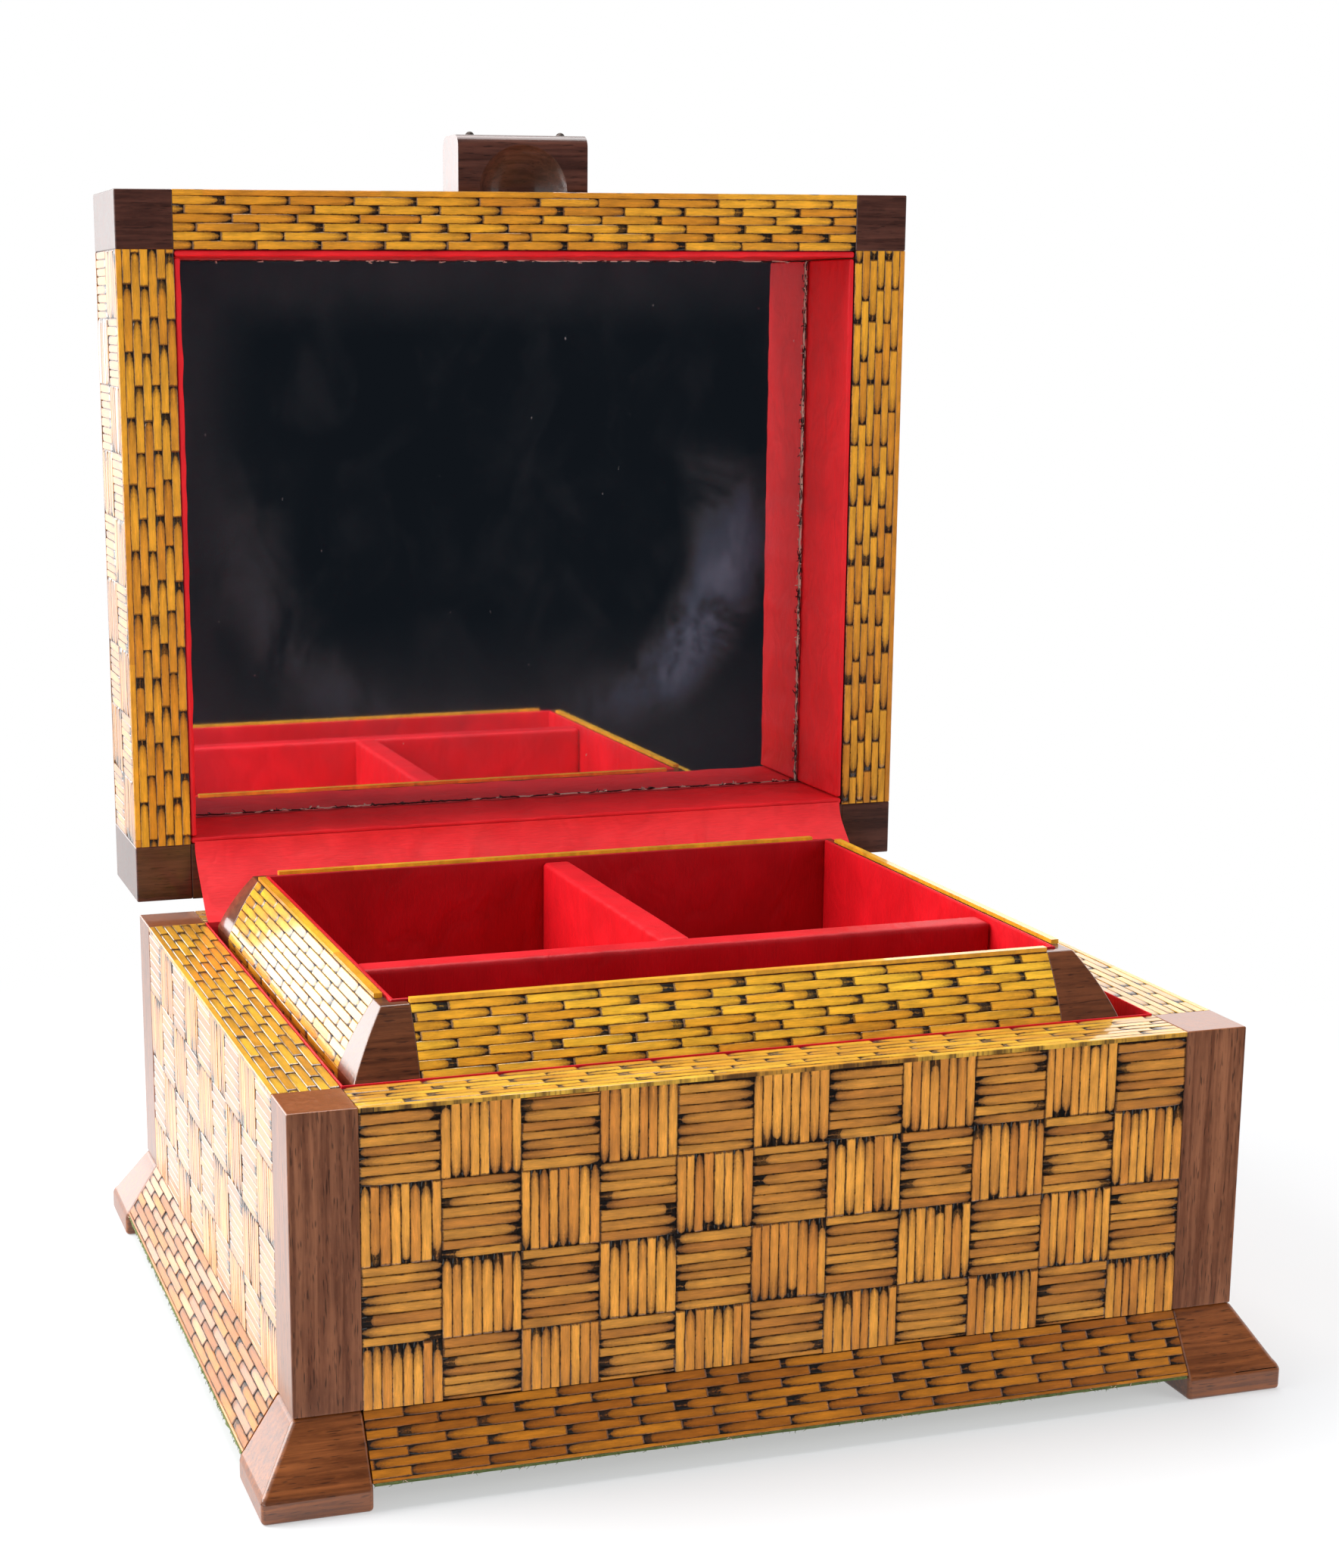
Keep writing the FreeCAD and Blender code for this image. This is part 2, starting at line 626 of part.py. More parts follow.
def tray_sides():
    """Side mouldings between the corner blocks, and the mitred corner blocks."""
    steps = tray_steps()
    start_w = TRAY_HALF_W - TRAY_CORNER
    start_d = TRAY_HALF_D - TRAY_CORNER
    made = {}
    for end, sy in ENDS:
        made[f"tray_wall_{end}"] = outline_prism(steps, True, TRAY_HALF_D, sy, -start_w, start_w)
        for side, sx in SIDES:
            solid = tray_corner_blank(sx, sy, start_w, start_d)
            inside = box(0, sx * TRAY_IN_W, 0, sy * TRAY_IN_D, TRAY_BOTTOM, TRAY_TOP)
            made[f"tray_corner_{end}_{side}"] = solid.cut(inside)
    for side, sx in SIDES:
        made[f"tray_wall_{side}"] = outline_prism(steps, False, TRAY_HALF_W, sx, -start_d, start_d)
    return made


def tray_corner_blank(sx, sy, start_w, start_d):
    """The mitred outer form of a tray corner, before the compartment is cut out of it."""
    steps = tray_steps()
    deep = -TRAY_CORNER
    widened = [
        ((deep, TRAY_BOTTOM), (0, TRAY_BOTTOM)),
        steps[1],
        steps[2],
        ((-TRAY_FLARE, TRAY_TOP), (deep, TRAY_TOP)),
        ((deep, TRAY_TOP), (deep, TRAY_BOTTOM)),
    ]
    return corner_moulding(widened, TRAY_HALF_W, sx, TRAY_HALF_D, sy, start_w, start_d, 0.0)


def tray_lining():
    """Satin on the tray's floor and inner walls."""
    high = TRAY_TOP - TRAY_PAD_DROP
    pieces = [box(-TRAY_IN_W, TRAY_IN_W, -TRAY_IN_D, TRAY_IN_D, TRAY_FLOOR_TOP, TRAY_SATIN_TOP)]
    for sy in (-1, 1):
        pieces.append(
            box(-TRAY_IN_W, TRAY_IN_W, sy * PAD_IN_D, sy * TRAY_IN_D, TRAY_SATIN_TOP, high)
        )
    for sx in (-1, 1):
        pieces.append(box(sx * PAD_IN_W, sx * TRAY_IN_W, -PAD_IN_D, PAD_IN_D, TRAY_SATIN_TOP, high))
    return Part.makeCompound(pieces)


def divider_steps():
    """Section of a divider: upright sides under a flat top with rounded edges."""
    half = DIVIDER / 2
    flat = half - DIVIDER_EDGE_RADIUS
    spring = DIVIDER_TOP - DIVIDER_EDGE_RADIUS
    mid_out = flat + DIVIDER_EDGE_RADIUS * math.cos(math.pi / 4)
    mid_z = spring + DIVIDER_EDGE_RADIUS * math.sin(math.pi / 4)
    return [
        ((-half, TRAY_SATIN_TOP), (half, TRAY_SATIN_TOP)),
        ((half, TRAY_SATIN_TOP), (half, spring)),
        ((half, spring), (mid_out, mid_z), (flat, DIVIDER_TOP)),
        ((flat, DIVIDER_TOP), (-flat, DIVIDER_TOP)),
        ((-flat, DIVIDER_TOP), (-mid_out, mid_z), (-half, spring)),
        ((-half, spring), (-half, TRAY_SATIN_TOP)),
    ]


def tray_inside():
    """Floor board, lining and the two dividers."""
    middle = (DIVIDER_Y0 + DIVIDER_Y1) / 2
    lengthwise = outline_prism(divider_steps(), True, middle, 1, -PAD_IN_W, PAD_IN_W)
    crosswise = outline_prism(divider_steps(), False, 0.0, 1, DIVIDER_Y1, PAD_IN_D)
    return {
        "tray_floor": box(-TRAY_IN_W, TRAY_IN_W, -TRAY_IN_D, TRAY_IN_D, TRAY_BOTTOM, TRAY_FLOOR_TOP),
        "tray_lining": tray_lining(),
        "tray_long_divider": lengthwise,
        "tray_cross_divider": crosswise,
    }


def tray():
    """Every tray piece, moved to where the tray lies in the opening."""
    shift = FreeCAD.Vector(TRAY_OFFSET_X, 0, 0)
    made = {}
    for name, shape in {**tray_sides(), **tray_inside()}.items():
        shape.translate(shift)
        made[name] = shape
    return made


def base():
    made = {
        "base_floor": base_floor(),
        "base_rim_marquetry": base_rim_marquetry(),
        "base_felt": base_felt(),
        "base_lining": base_lining(),
        "tray_ledges": tray_ledges(),
        "base_hinge_leaves": base_hinge_leaves(),
        "base_hinge_screws": Part.makeCompound(base_screws(0.0)),
        "hinge_pins": hinge_pins(),
        "hinge_cloth": hinge_cloth(),
    }
    for group in (base_posts(), base_walls(), base_marquetry(), skirts(), feet()):
        made.update(group)
    return made


def lid():
    made = {
        "lid_side_marquetry": lid_side_marquetry(),
        "lid_rim_marquetry": lid_rim_marquetry(),
        "lid_top_marquetry": lid_top_marquetry(),
        "lid_lining_pads": lid_lining_pads(),
        "lid_handle": lid_handle(),
        "handle_pins": handle_pins(),
        "lid_hinge_leaves": lid_hinge_leaves(),
        "lid_hinge_screws": Part.makeCompound(lid_screws(0.0)),
    }
    for group in (lid_corners(), lid_rails(), lid_layers()):
        made.update(group)
    return made


os.makedirs("parts", exist_ok=True)
for name, shape in {**base(), **lid(), **tray()}.items():
    shape.exportStep(f"parts/{name}.step")
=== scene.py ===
"""Looks of the keepsake box: matchstick marquetry, dark hardwood, red satin, mirror and hinges.

Metres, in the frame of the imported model, where the lid stands open. Sizes of the small detail are
written in millimetres times MM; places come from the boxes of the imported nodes.
"""

import json
import math
import random

import bmesh
import bpy
import numpy as np
from mathutils import Matrix, Vector

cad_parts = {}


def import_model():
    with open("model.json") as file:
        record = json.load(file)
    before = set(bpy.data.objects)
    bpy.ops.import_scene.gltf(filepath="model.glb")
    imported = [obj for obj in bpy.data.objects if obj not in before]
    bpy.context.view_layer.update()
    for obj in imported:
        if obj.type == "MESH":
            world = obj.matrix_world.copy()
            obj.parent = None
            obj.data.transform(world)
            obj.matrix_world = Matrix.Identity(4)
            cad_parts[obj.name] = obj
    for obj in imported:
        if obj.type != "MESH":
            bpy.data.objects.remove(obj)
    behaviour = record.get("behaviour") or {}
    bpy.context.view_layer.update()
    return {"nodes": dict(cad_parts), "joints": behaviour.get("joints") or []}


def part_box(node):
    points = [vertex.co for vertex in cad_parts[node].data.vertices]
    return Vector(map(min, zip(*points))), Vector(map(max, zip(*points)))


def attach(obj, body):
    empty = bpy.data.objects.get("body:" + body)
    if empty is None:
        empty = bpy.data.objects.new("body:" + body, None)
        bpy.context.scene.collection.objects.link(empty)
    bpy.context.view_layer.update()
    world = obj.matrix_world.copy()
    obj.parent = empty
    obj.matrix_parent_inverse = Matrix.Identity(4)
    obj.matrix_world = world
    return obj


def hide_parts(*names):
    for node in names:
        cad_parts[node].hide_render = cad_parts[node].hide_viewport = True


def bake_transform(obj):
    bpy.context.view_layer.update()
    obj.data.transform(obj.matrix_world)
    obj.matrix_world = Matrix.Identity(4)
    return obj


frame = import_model()

MM = 0.001
X = Vector((1, 0, 0))
Y = Vector((0, 1, 0))
Z = Vector((0, 0, 1))

# The photograph's frame and the camera that took it, fitted to the corners of the box
IMAGE_WIDTH = 1769
IMAGE_HEIGHT = 2072
FOCAL_PIXELS = 3431.3
PRINCIPAL_X = 647.0
PRINCIPAL_Y = 1166.8
CAMERA_PLACE = Vector((-234.55, -644.6, 267.64)) * MM
CAMERA_YAW = math.radians(-16.49)
CAMERA_PITCH = math.radians(-12.44)
CAMERA_ROLL = math.radians(-0.25)
SENSOR = 36.0
LAMP_AIM = Vector((0, 0, 0.12))

# Matchsticks
STICK_LENGTH = 18.7 * MM
STICKS_PER_TILE = 8
TILE_COLUMNS = 11
TILE_ROWS_DEEP = 9
TILE_HEIGHT = 19.3 * MM
STICK_GROOVE = 0.45 * MM
STICK_FOOT = STICK_GROOVE + 0.2 * MM
LENGTH_SPREAD = 0.5 * MM
WIDTH_SPREAD = 0.14
ROW_SPREAD = 1.6 * MM
SLIVER = 0.6 * MM
LAST_TILE = 1.0 * MM
CLEAN_EDGE = 0.14
EDGE_STRIP = 1.75 * MM
EDGE_STRIP_LENGTH = 52 * MM
BAND_ROWS = 6
SKIRT_ROWS = 7
SKIRT_LIP = 0.9 * MM
FIELD_SHIFT = 1.7 * MM
LID_STRIP = 0.6 * MM

# Tray sides: a bulged slope under a flat rim
TRAY_FLARE = 9.0 * MM
TRAY_BULGE = 0.6 * MM
TRAY_RIM = 3.0 * MM
TRAY_SHOULDER = 0.7 * MM
TRAY_STRIP = (0.8 * MM, 2.9 * MM)
TRAY_CLEAN_EDGE = 0.8
TRAY_LOW_GAP = 0.05 * MM
TRAY_SLOPE_ROWS = 8
SLOPE_STEPS = 10

# Hinges, hardwood, satin and felt
BLOCK_EASED = 0.15 * MM
BLOCK_STEP = 8 * MM
HINGE_HALF = 15.0 * MM
HINGE_PLAY = 0.1 * MM
EASED = 0.45 * MM
FOOT_EASED = 1.1 * MM
TRAY_EASED = 0.35 * MM
LINING_FLOOR = 0.6 * MM
BASE_BOARD = 0.5 * MM
TRAY_BOARD = 1.2 * MM
LID_PAD = 2.2 * MM
CLOTH_THICK = 0.25 * MM
CLOTH_PLY = 0.18 * MM
CLOTH_TAIL_STEPS = 6
CLOTH_TURN_STEPS = 29
CLOTH_COLUMNS = 104
FELT_PROUD = 1.5 * MM


# Colours and materials

def srgb(red, green, blue):
    """A colour given in 0 to 255 screen values, as linear RGBA."""
    parts = [c / 255 for c in (red, green, blue)]
    linear = [c / 12.92 if c <= 0.04045 else ((c + 0.055) / 1.055) ** 2.4 for c in parts]
    return (*linear, 1.0)


class Graph:
    """A node tree, with short ways to add nodes to it."""

    def __init__(self, owner):
        owner.use_nodes = True
        self.nodes = owner.node_tree.nodes
        self.links = owner.node_tree.links

    def put(self, socket, value):
        """Connects an output to a socket, or sets the socket to a constant."""
        if isinstance(value, bpy.types.NodeSocket):
            self.links.new(value, socket)
        else:
            socket.default_value = value

    def wire(self, node, values):
        """Puts values on a node's first inputs, and gives back its first output."""
        for socket, value in zip(node.inputs, values):
            self.put(socket, value)
        return node.outputs[0]

    def math(self, operation, *values, clamp=False):
        node = self.nodes.new("ShaderNodeMath")
        node.operation = operation
        node.use_clamp = clamp
        return self.wire(node, values)

    def plus(self, a, b):
        return self.math("ADD", a, b)

    def minus(self, a, b):
        return self.math("SUBTRACT", a, b)

    def rest(self, value):
        """What is left of 1."""
        return self.math("SUBTRACT", 1.0, value)

    def times(self, product, *others):
        for other in others:
            product = self.math("MULTIPLY", product, other)
        return product

    def scaled(self, value, factor, added):
        return self.math("MULTIPLY_ADD", value, factor, added)

    def smooth(self, value, low, high):
        """0 below low, 1 above high, smooth between."""
        node = self.nodes.new("ShaderNodeMapRange")
        node.interpolation_type = "SMOOTHSTEP"
        for name, v in (("Value", value), ("From Min", low), ("From Max", high)):
            self.put(node.inputs[name], v)
        return node.outputs["Result"]

    def mix(self, factor, a, b, blend="MIX"):
        node = self.nodes.new("ShaderNodeMix")
        node.data_type = "RGBA"
        node.blend_type = blend
        for number, value in ((0, factor), (6, a), (7, b)):
            self.put(node.inputs[number], value)
        return node.outputs[2]

    def toned(self, colour, tone):
        """A colour times a number."""
        return self.mix(1.0, colour, self.combine(tone, tone, tone), "MULTIPLY")

    def combine(self, x, y, z):
        return self.wire(self.nodes.new("ShaderNodeCombineXYZ"), (x, y, z))

    def separate(self, vector):
        node = self.nodes.new("ShaderNodeSeparateXYZ")
        self.put(node.inputs[0], vector)
        return node.outputs

    def attribute(self, name):
        node = self.nodes.new("ShaderNodeAttribute")
        node.attribute_name = name
        return node.outputs["Vector"]

    def place(self, scale):
        """Object coordinates, in metres times a scale for each axis."""
        coordinates = self.nodes.new("ShaderNodeTexCoord")
        mapping = self.nodes.new("ShaderNodeMapping")
        self.put(mapping.inputs["Vector"], coordinates.outputs["Object"])
        self.put(mapping.inputs["Scale"], scale)
        return mapping.outputs[0]

    def facing(self, axis):
        """How far a face's normal points along one axis of the object."""
        coordinates = self.nodes.new("ShaderNodeTexCoord")
        return self.separate(coordinates.outputs["Normal"])["XYZ".index(axis)]

    def noise(self, vector, scale=1.0, detail=2.0, roughness=0.5, distortion=0.0):
        node = self.nodes.new("ShaderNodeTexNoise")
        names = ("Vector", "Scale", "Detail", "Roughness", "Distortion")
        for name, value in zip(names, (vector, scale, detail, roughness, distortion)):
            self.put(node.inputs[name], value)
        return node.outputs["Fac"]

    def chance(self, seed):
        """Three random numbers that depend only on the seed."""
        node = self.nodes.new("ShaderNodeTexWhiteNoise")
        node.noise_dimensions = "1D"
        self.put(node.inputs["W"], seed)
        return self.separate(node.outputs["Color"])

    def seen(self):
        """1 for rays that see the background directly, in a mirror or through glass."""
        rays = self.nodes.new("ShaderNodeLightPath").outputs
        indirect = self.math("MAXIMUM", rays["Is Glossy Ray"], rays["Is Transmission Ray"])
        return self.math("MAXIMUM", rays["Is Camera Ray"], indirect)


class Material(Graph):
    """A material with a Principled shader, whose constants are given by name."""

    def __init__(self, name, **constants):
        self.made = bpy.data.materials.new(name)
        super().__init__(self.made)
        self.shader = self.nodes["Principled BSDF"]
        for socket, value in constants.items():
            self.shader.inputs[socket.replace("_", " ")].default_value = value

    def finish(self, colour, roughness, height, strength=0.2, distance=0.0003):
        """Sets the colour, the roughness and the bump, and gives back the material."""
        self.put(self.shader.inputs["Base Color"], colour)
        self.put(self.shader.inputs["Roughness"], roughness)
        bump = self.nodes.new("ShaderNodeBump")
        for name, value in (("Strength", strength), ("Distance", distance), ("Height", height)):
            self.put(bump.inputs[name], value)
        self.put(self.shader.inputs["Normal"], bump.outputs["Normal"])
        return self.made


def stick_material(name, light, dark, charring=1.0, coat=0.8):
    """Varnished matchsticks: each has its own tone, long grain, dark joints, painted shade towards
    its sides and a burnt tip.

    The attribute stick holds the distance from the tip, the place across, both in millimetres,
    and a random number; stick_back holds the distance from the tail, half the width, and 1 for a
    stick that runs across the panel.
    """
    m = Material(name, Coat_Weight=coat, Coat_Roughness=0.08, Coat_IOR=1.55)
    tip, across, seed = m.separate(m.attribute("stick"))
    tail, half, crosswise = m.separate(m.attribute("stick_back"))
    first, second, third = m.chance(m.times(seed, 913.7))
    fourth, fifth, _ = m.chance(m.times(seed, 411.3))
    far = m.times(seed, 370.0)
    aside = m.math("ABSOLUTE", across)

    def texture(lengthwise, sideways, detail, scale=1.0):
        """Noise stretched along the stick, other for each one."""
        spot = m.combine(m.times(tail, lengthwise), m.times(across, sideways), far)
        return m.noise(spot, scale, detail)

    grain = texture(0.22, 2.0, 3)
    streak = texture(0.5, 9.0, 2)
    blotch = texture(0.13, 0.3, 2)
    ragged = m.minus(texture(1.0, 1.6, 4, 1.5), 0.5)
    uneven = m.minus(texture(0.2, 1.0, 2), 0.5)

    # The unburnt wood narrows towards the tip
    bare = m.times(m.math("POWER", first, 4.0), 3.2 * charring)
    inside = m.minus(tip, m.plus(bare, 0.12))
    nose = m.scaled(m.times(second, second), 4.0 * charring, 0.8)
    reach = m.math("POWER", m.math("DIVIDE", inside, nose, clamp=True), 0.46)
    limit = m.minus(aside, m.times(reach, half))
    limit = m.scaled(ragged, 1.2, limit)
    char = m.smooth(limit, -0.12, 0.24)
    near_tip = m.rest(m.smooth(tip, 0.5, 9.0))
    scorch = m.times(m.smooth(limit, -1.5, 0.1), near_tip)

    # Dark lines where stick meets stick, wider in places
    side = m.minus(aside, half)
    side = m.scaled(ragged, 0.3, side)
    side = m.scaled(uneven, 0.9, side)
    side = m.scaled(fourth, 0.12, side)
    line = m.smooth(side, -0.22, 0.1)
    end = m.scaled(ragged, 0.9, m.scaled(fifth, -0.35, tail))
    butt = m.rest(m.smooth(end, 0.0, 0.42))
    line = m.times(m.math("MAXIMUM", line, butt), 0.86)

    wood = m.mix(m.smooth(third, 0.0, 1.0), light, dark)
    # Painted shade: each stick is darker towards its sides, as if light fell off a rounded top
    rounded = m.math("DIVIDE", aside, half)
    tone = m.times(
        m.scaled(m.math("POWER", rounded, 2.2), -0.3, 1.1),
        m.scaled(grain, 0.5, 0.74),
        m.scaled(blotch, 0.9, 0.55),
        m.scaled(streak, 0.7, 0.65),
        m.scaled(crosswise, 0.3, 0.9),
    )
    wood = m.toned(wood, tone)
    wood = m.mix(m.times(scorch, 0.75), wood, srgb(88, 44, 12))
    wood = m.mix(line, wood, srgb(70, 35, 11))
    wood = m.mix(char, wood, srgb(15, 11, 10))
    height = m.minus(m.plus(grain, m.times(streak, 0.5)), char)
    return m.finish(wood, m.scaled(char, 0.2, 0.38), height, 0.3, 0.0002)


def two_tone_material(name, scale, first, second, roughness, bump, detail=3, **constants):
    """Two tones mixed by one noise, which is also the bump."""
    m = Material(name, **constants)
    spots = m.noise(m.place(scale), detail=detail)
    return m.finish(m.mix(spots, first, second), roughness, spots, bump)


def hardwood_material(name, along, light, dark, gloss=0.7, painted_top_light_share=0.0):
    """Varnished red-brown hardwood with long grain and short dark pores along one axis. The faces
    that lie level take a share of a warmer brown, painted light from above."""
    m = Material(name, Coat_Weight=gloss, Coat_Roughness=0.11, Coat_IOR=1.55)
    axis = "XYZ".index(along)

    def grain(across, lengthwise, **more):
        stretch = [across, across, across]
        stretch[axis] = lengthwise
        return m.noise(m.place(stretch), **more)

    figure = grain(650.0, 30.0, detail=4, roughness=0.62, distortion=0.3)
    pores = m.smooth(grain(2300.0, 230.0, detail=1), 0.6, 0.72)
    flecks = m.smooth(grain(1500.0, 420.0, detail=2), 0.5, 0.8)
    bands = grain(90.0, 11.0, detail=2, distortion=0.7)
    mottle = grain(160.0, 160.0, detail=3)
    wood = m.mix(m.smooth(figure, 0.28, 0.74), dark, light)
    wood = m.mix(m.times(m.smooth(bands, 0.35, 0.75), 0.35), wood, dark)
    tone = m.scaled(mottle, 0.5, 0.76)
    wood = m.toned(wood, tone)
    wood = m.mix(m.times(flecks, 0.3), wood, light)
    wood = m.mix(m.times(pores, 0.6), wood, srgb(30, 12, 7))
    if painted_top_light_share:
        # Painted light: faces that look up, the tops, turn a warmer, lighter brown as if lit from
        # above
        level = m.smooth(m.facing("Z"), 0.55, 0.95)
        wood = m.mix(m.times(level, painted_top_light_share), wood, srgb(150, 76, 18))
    height = m.scaled(pores, -0.7, figure)
    return m.finish(wood, m.scaled(figure, 0.2, 0.3), height, 0.12)


def plain_wood_material():
    """Bare carcass wood inside the joinery."""
    m = Material("carcass_wood")
    figure = m.noise(m.place((60, 700, 700)), detail=4, distortion=0.5)
    wood = m.mix(figure, srgb(122, 84, 52), srgb(186, 140, 92))
    return m.finish(wood, 0.62, figure, 0.2)


def satin_material(name, light, dark, along="X", sheen=0.12, forward=1.0):
    """Red satin: a fine rib, a soft sheen, shallow creases whose hollows are painted darker and
    crests lighter, and slow changes of tone. Faces that look forward, towards -Y, keep only a share
    of their colour, a painted shade."""
    m = Material(name, Sheen_Weight=sheen, Sheen_Roughness=0.4, Specular_IOR_Level=0.3)
    m.shader.inputs["Sheen Tint"].default_value = srgb(255, 90, 90)
    fine = [2600.0, 2600.0, 2600.0]
    fine["XYZ".index(along)] = 260.0
    rib = m.noise(m.place(fine), detail=2)
    slow = m.noise(m.place((28, 28, 28)), detail=3, distortion=0.4)
    crease = m.noise(m.place((85, 85, 60)), detail=2, distortion=0.9)
    cloth = m.mix(m.smooth(slow, 0.25, 0.75), dark, light)
    # Painted shade and light: the noise that is also the bump darkens the hollows and lightens the
    # crests
    shade = m.times(m.scaled(rib, 0.3, 0.85), m.scaled(crease, 0.4, 0.8))
    # Painted shade: faces turned towards the front keep only a share, forward, of their colour
    if forward < 1.0:
        turned = m.smooth(m.facing("Y"), -0.9, 0.45)
        shade = m.times(shade, m.scaled(turned, 1.0 - forward, forward))
    cloth = m.toned(cloth, shade)
    height = m.scaled(crease, 9.0, rib)
    return m.finish(cloth, m.scaled(slow, 0.12, 0.42), height, 0.25, 0.0004)


def felt_material():
    m = Material("green_felt", Sheen_Weight=0.6, Sheen_Roughness=0.5)
    m.shader.inputs["Sheen Tint"].default_value = srgb(190, 210, 150)
    tufts = m.noise(m.place((1400, 1400, 1400)), detail=4, roughness=0.7)
    return m.finish(m.mix(tufts, srgb(30, 48, 22), srgb(120, 132, 70)), 0.9, tufts, 0.8, 0.0005)


def mirror_material():
    """Old silvered glass with a pale oval left by wiping, cloudy spots, and small specks."""
    m = Material("old_mirror")
    x, _, z = m.separate(m.place((1 / MIRROR_HALF.x, 1.0, 1 / MIRROR_HALF.y)))
    z = m.minus(z, MIRROR_MIDDLE_Z / MIRROR_HALF.y)
    cloud = m.noise(m.place((46, 46, 32)), detail=6, roughness=0.72, distortion=0.5)
    smear = m.noise(m.place((150, 150, 60)), detail=5, roughness=0.7, distortion=0.8)
    far = m.math("SQRT", m.plus(m.times(x, x), m.times(z, z)))

    # A wiped oval, strongest low on the right
    ring = m.math("ABSOLUTE", m.minus(far, 0.75))
    ring = m.rest(m.smooth(ring, 0.0, 0.18))
    low = m.times(m.smooth(z, -0.85, -0.5), m.rest(m.smooth(z, -0.2, 0.4)))
    right = m.scaled(m.smooth(x, 0.2, 0.65), 0.8, 0.2)
    texture = m.times(m.smooth(cloud, 0.32, 0.62), m.scaled(smear, 1.1, 0.15))
    haze = m.times(m.times(ring, low), m.times(right, texture))

    # A thin veil, with more of it near the edges and at the bottom
    bottom = m.rest(m.smooth(z, -0.8, -0.25))
    outer = m.smooth(m.math("MAXIMUM", m.times(x, -1.0), z), 0.7, 1.02)
    border = m.times(outer, smear)
    veil = m.times(m.smooth(cloud, 0.45, 0.8), 0.05)
    veil = m.scaled(border, 0.2, m.scaled(bottom, 0.09, veil))
    haze = m.math("ADD", haze, veil, clamp=True)
    speck = m.smooth(m.noise(m.place((560, 560, 300)), detail=2), 0.745, 0.78)
    dust = m.math("MAXIMUM", m.times(haze, 0.25), m.times(speck, 0.25))
    m.put(m.shader.inputs["Metallic"], m.rest(dust))
    silver = m.mix(m.smooth(haze, 0.0, 0.4), srgb(246, 246, 247), srgb(196, 216, 246))
    return m.finish(silver, m.scaled(speck, 0.2, 0.025), smear, 0.006)


def metal_material(name, light, dark, roughness):
    m = Material(name, Metallic=1.0)
    worn = m.noise(m.place((700, 240, 700)), detail=4)
    tone = m.mix(m.smooth(worn, 0.3, 0.75), light, dark)
    return m.finish(tone, m.scaled(worn, 0.25, roughness), worn, 0.1)


GLASS_LOW, GLASS_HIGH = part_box("lid_mirror")
MIRROR_HALF = Vector(((GLASS_HIGH.x - GLASS_LOW.x) / 2, (GLASS_HIGH.z - GLASS_LOW.z) / 2))
MIRROR_MIDDLE_Z = (GLASS_LOW.z + GLASS_HIGH.z) / 2

STICKS_FIELD = stick_material("matchsticks_field", srgb(220, 149, 49), srgb(188, 116, 36), coat=1.0)
# The rim's paler tone is partly the sticks' yellower hue and partly painted light from above on the
# top bands
STICKS_RIM_PAINTED_TOP_LIGHT = stick_material("matchsticks_rim_painted_top_light", srgb(240, 185, 54), srgb(217, 151, 40), charring=0.8)
STICKS_LID = stick_material("matchsticks_lid", srgb(244, 174, 36), srgb(216, 138, 24), charring=0.9)
STICKS_SKIRT = stick_material("matchsticks_skirt", srgb(206, 127, 20), srgb(168, 93, 13), coat=0.5)
STICKS_TRAY = stick_material(
    "matchsticks_tray", srgb(255, 196, 48), srgb(236, 162, 30), charring=0.9
)
GROUND = two_tone_material(
    "marquetry_ground", (900, 900, 900), srgb(14, 8, 6), srgb(52, 27, 13), 0.6, 0.3,
    Coat_Weight=0.4, Coat_Roughness=0.2
)
POST_WOOD = hardwood_material(
    "hardwood_posts", "Z", srgb(158, 98, 62), srgb(104, 56, 32), painted_top_light_share=0.5
)
FOOT_WOOD = hardwood_material("hardwood_feet", "X", srgb(158, 88, 38), srgb(100, 50, 18), gloss=0.5)
TRAY_WOOD = hardwood_material("hardwood_tray", "X", srgb(126, 70, 36), srgb(76, 38, 18))
LID_WOOD = hardwood_material("hardwood_lid", "X", srgb(100, 56, 42), srgb(60, 31, 23))
SATIN = satin_material("satin", srgb(222, 16, 32), srgb(196, 6, 20))
# The hinge cloth is the same satin painted lighter: painted light on a strip that faces front and up
SATIN_CLOTH_PAINTED_LIGHT = satin_material("satin_cloth_painted_light", srgb(255, 60, 64), srgb(244, 42, 50), sheen=0.55)
# The lid pads, the upright ones too, are the same satin painted lighter: painted light
SATIN_PAD_PAINTED_LIGHT = satin_material("satin_pad_painted_light", srgb(240, 34, 42), srgb(220, 22, 32))
SATIN_PAD_UPRIGHT = satin_material("satin_pad_upright", srgb(240, 34, 42), srgb(220, 22, 32), "Z")
# Satin with painted shade on the faces that look forward
SATIN_SHADED = satin_material(
    "satin_shaded", srgb(226, 18, 34), srgb(200, 8, 22), "Z", sheen=0.06, forward=0.52
)
SATIN_UPRIGHT = satin_material("satin_upright", srgb(222, 16, 32), srgb(196, 6, 20), "Z")
CARCASS = plain_wood_material()
FELT = felt_material()
MIRROR = mirror_material()
BRASS = metal_material("brass", srgb(196, 150, 78), srgb(128, 92, 44), 0.28)
STEEL = metal_material("dark_iron", srgb(92, 84, 80), srgb(46, 38, 34), 0.45)
CARD = two_tone_material(
    "backing_card", (900, 900, 300), srgb(150, 128, 100), srgb(182, 160, 130), 0.85, 0.2
)
THREAD_LIGHT = two_tone_material(
    "pale_thread", (1200, 1200, 700), srgb(196, 150, 132), srgb(232, 214, 200), 0.7, 0.4, 2
)
THREAD_DARK = two_tone_material(
    "dark_thread", (1200, 1200, 700), srgb(24, 12, 12), srgb(66, 20, 20), 0.7, 0.4, 2
)


# Mesh helpers

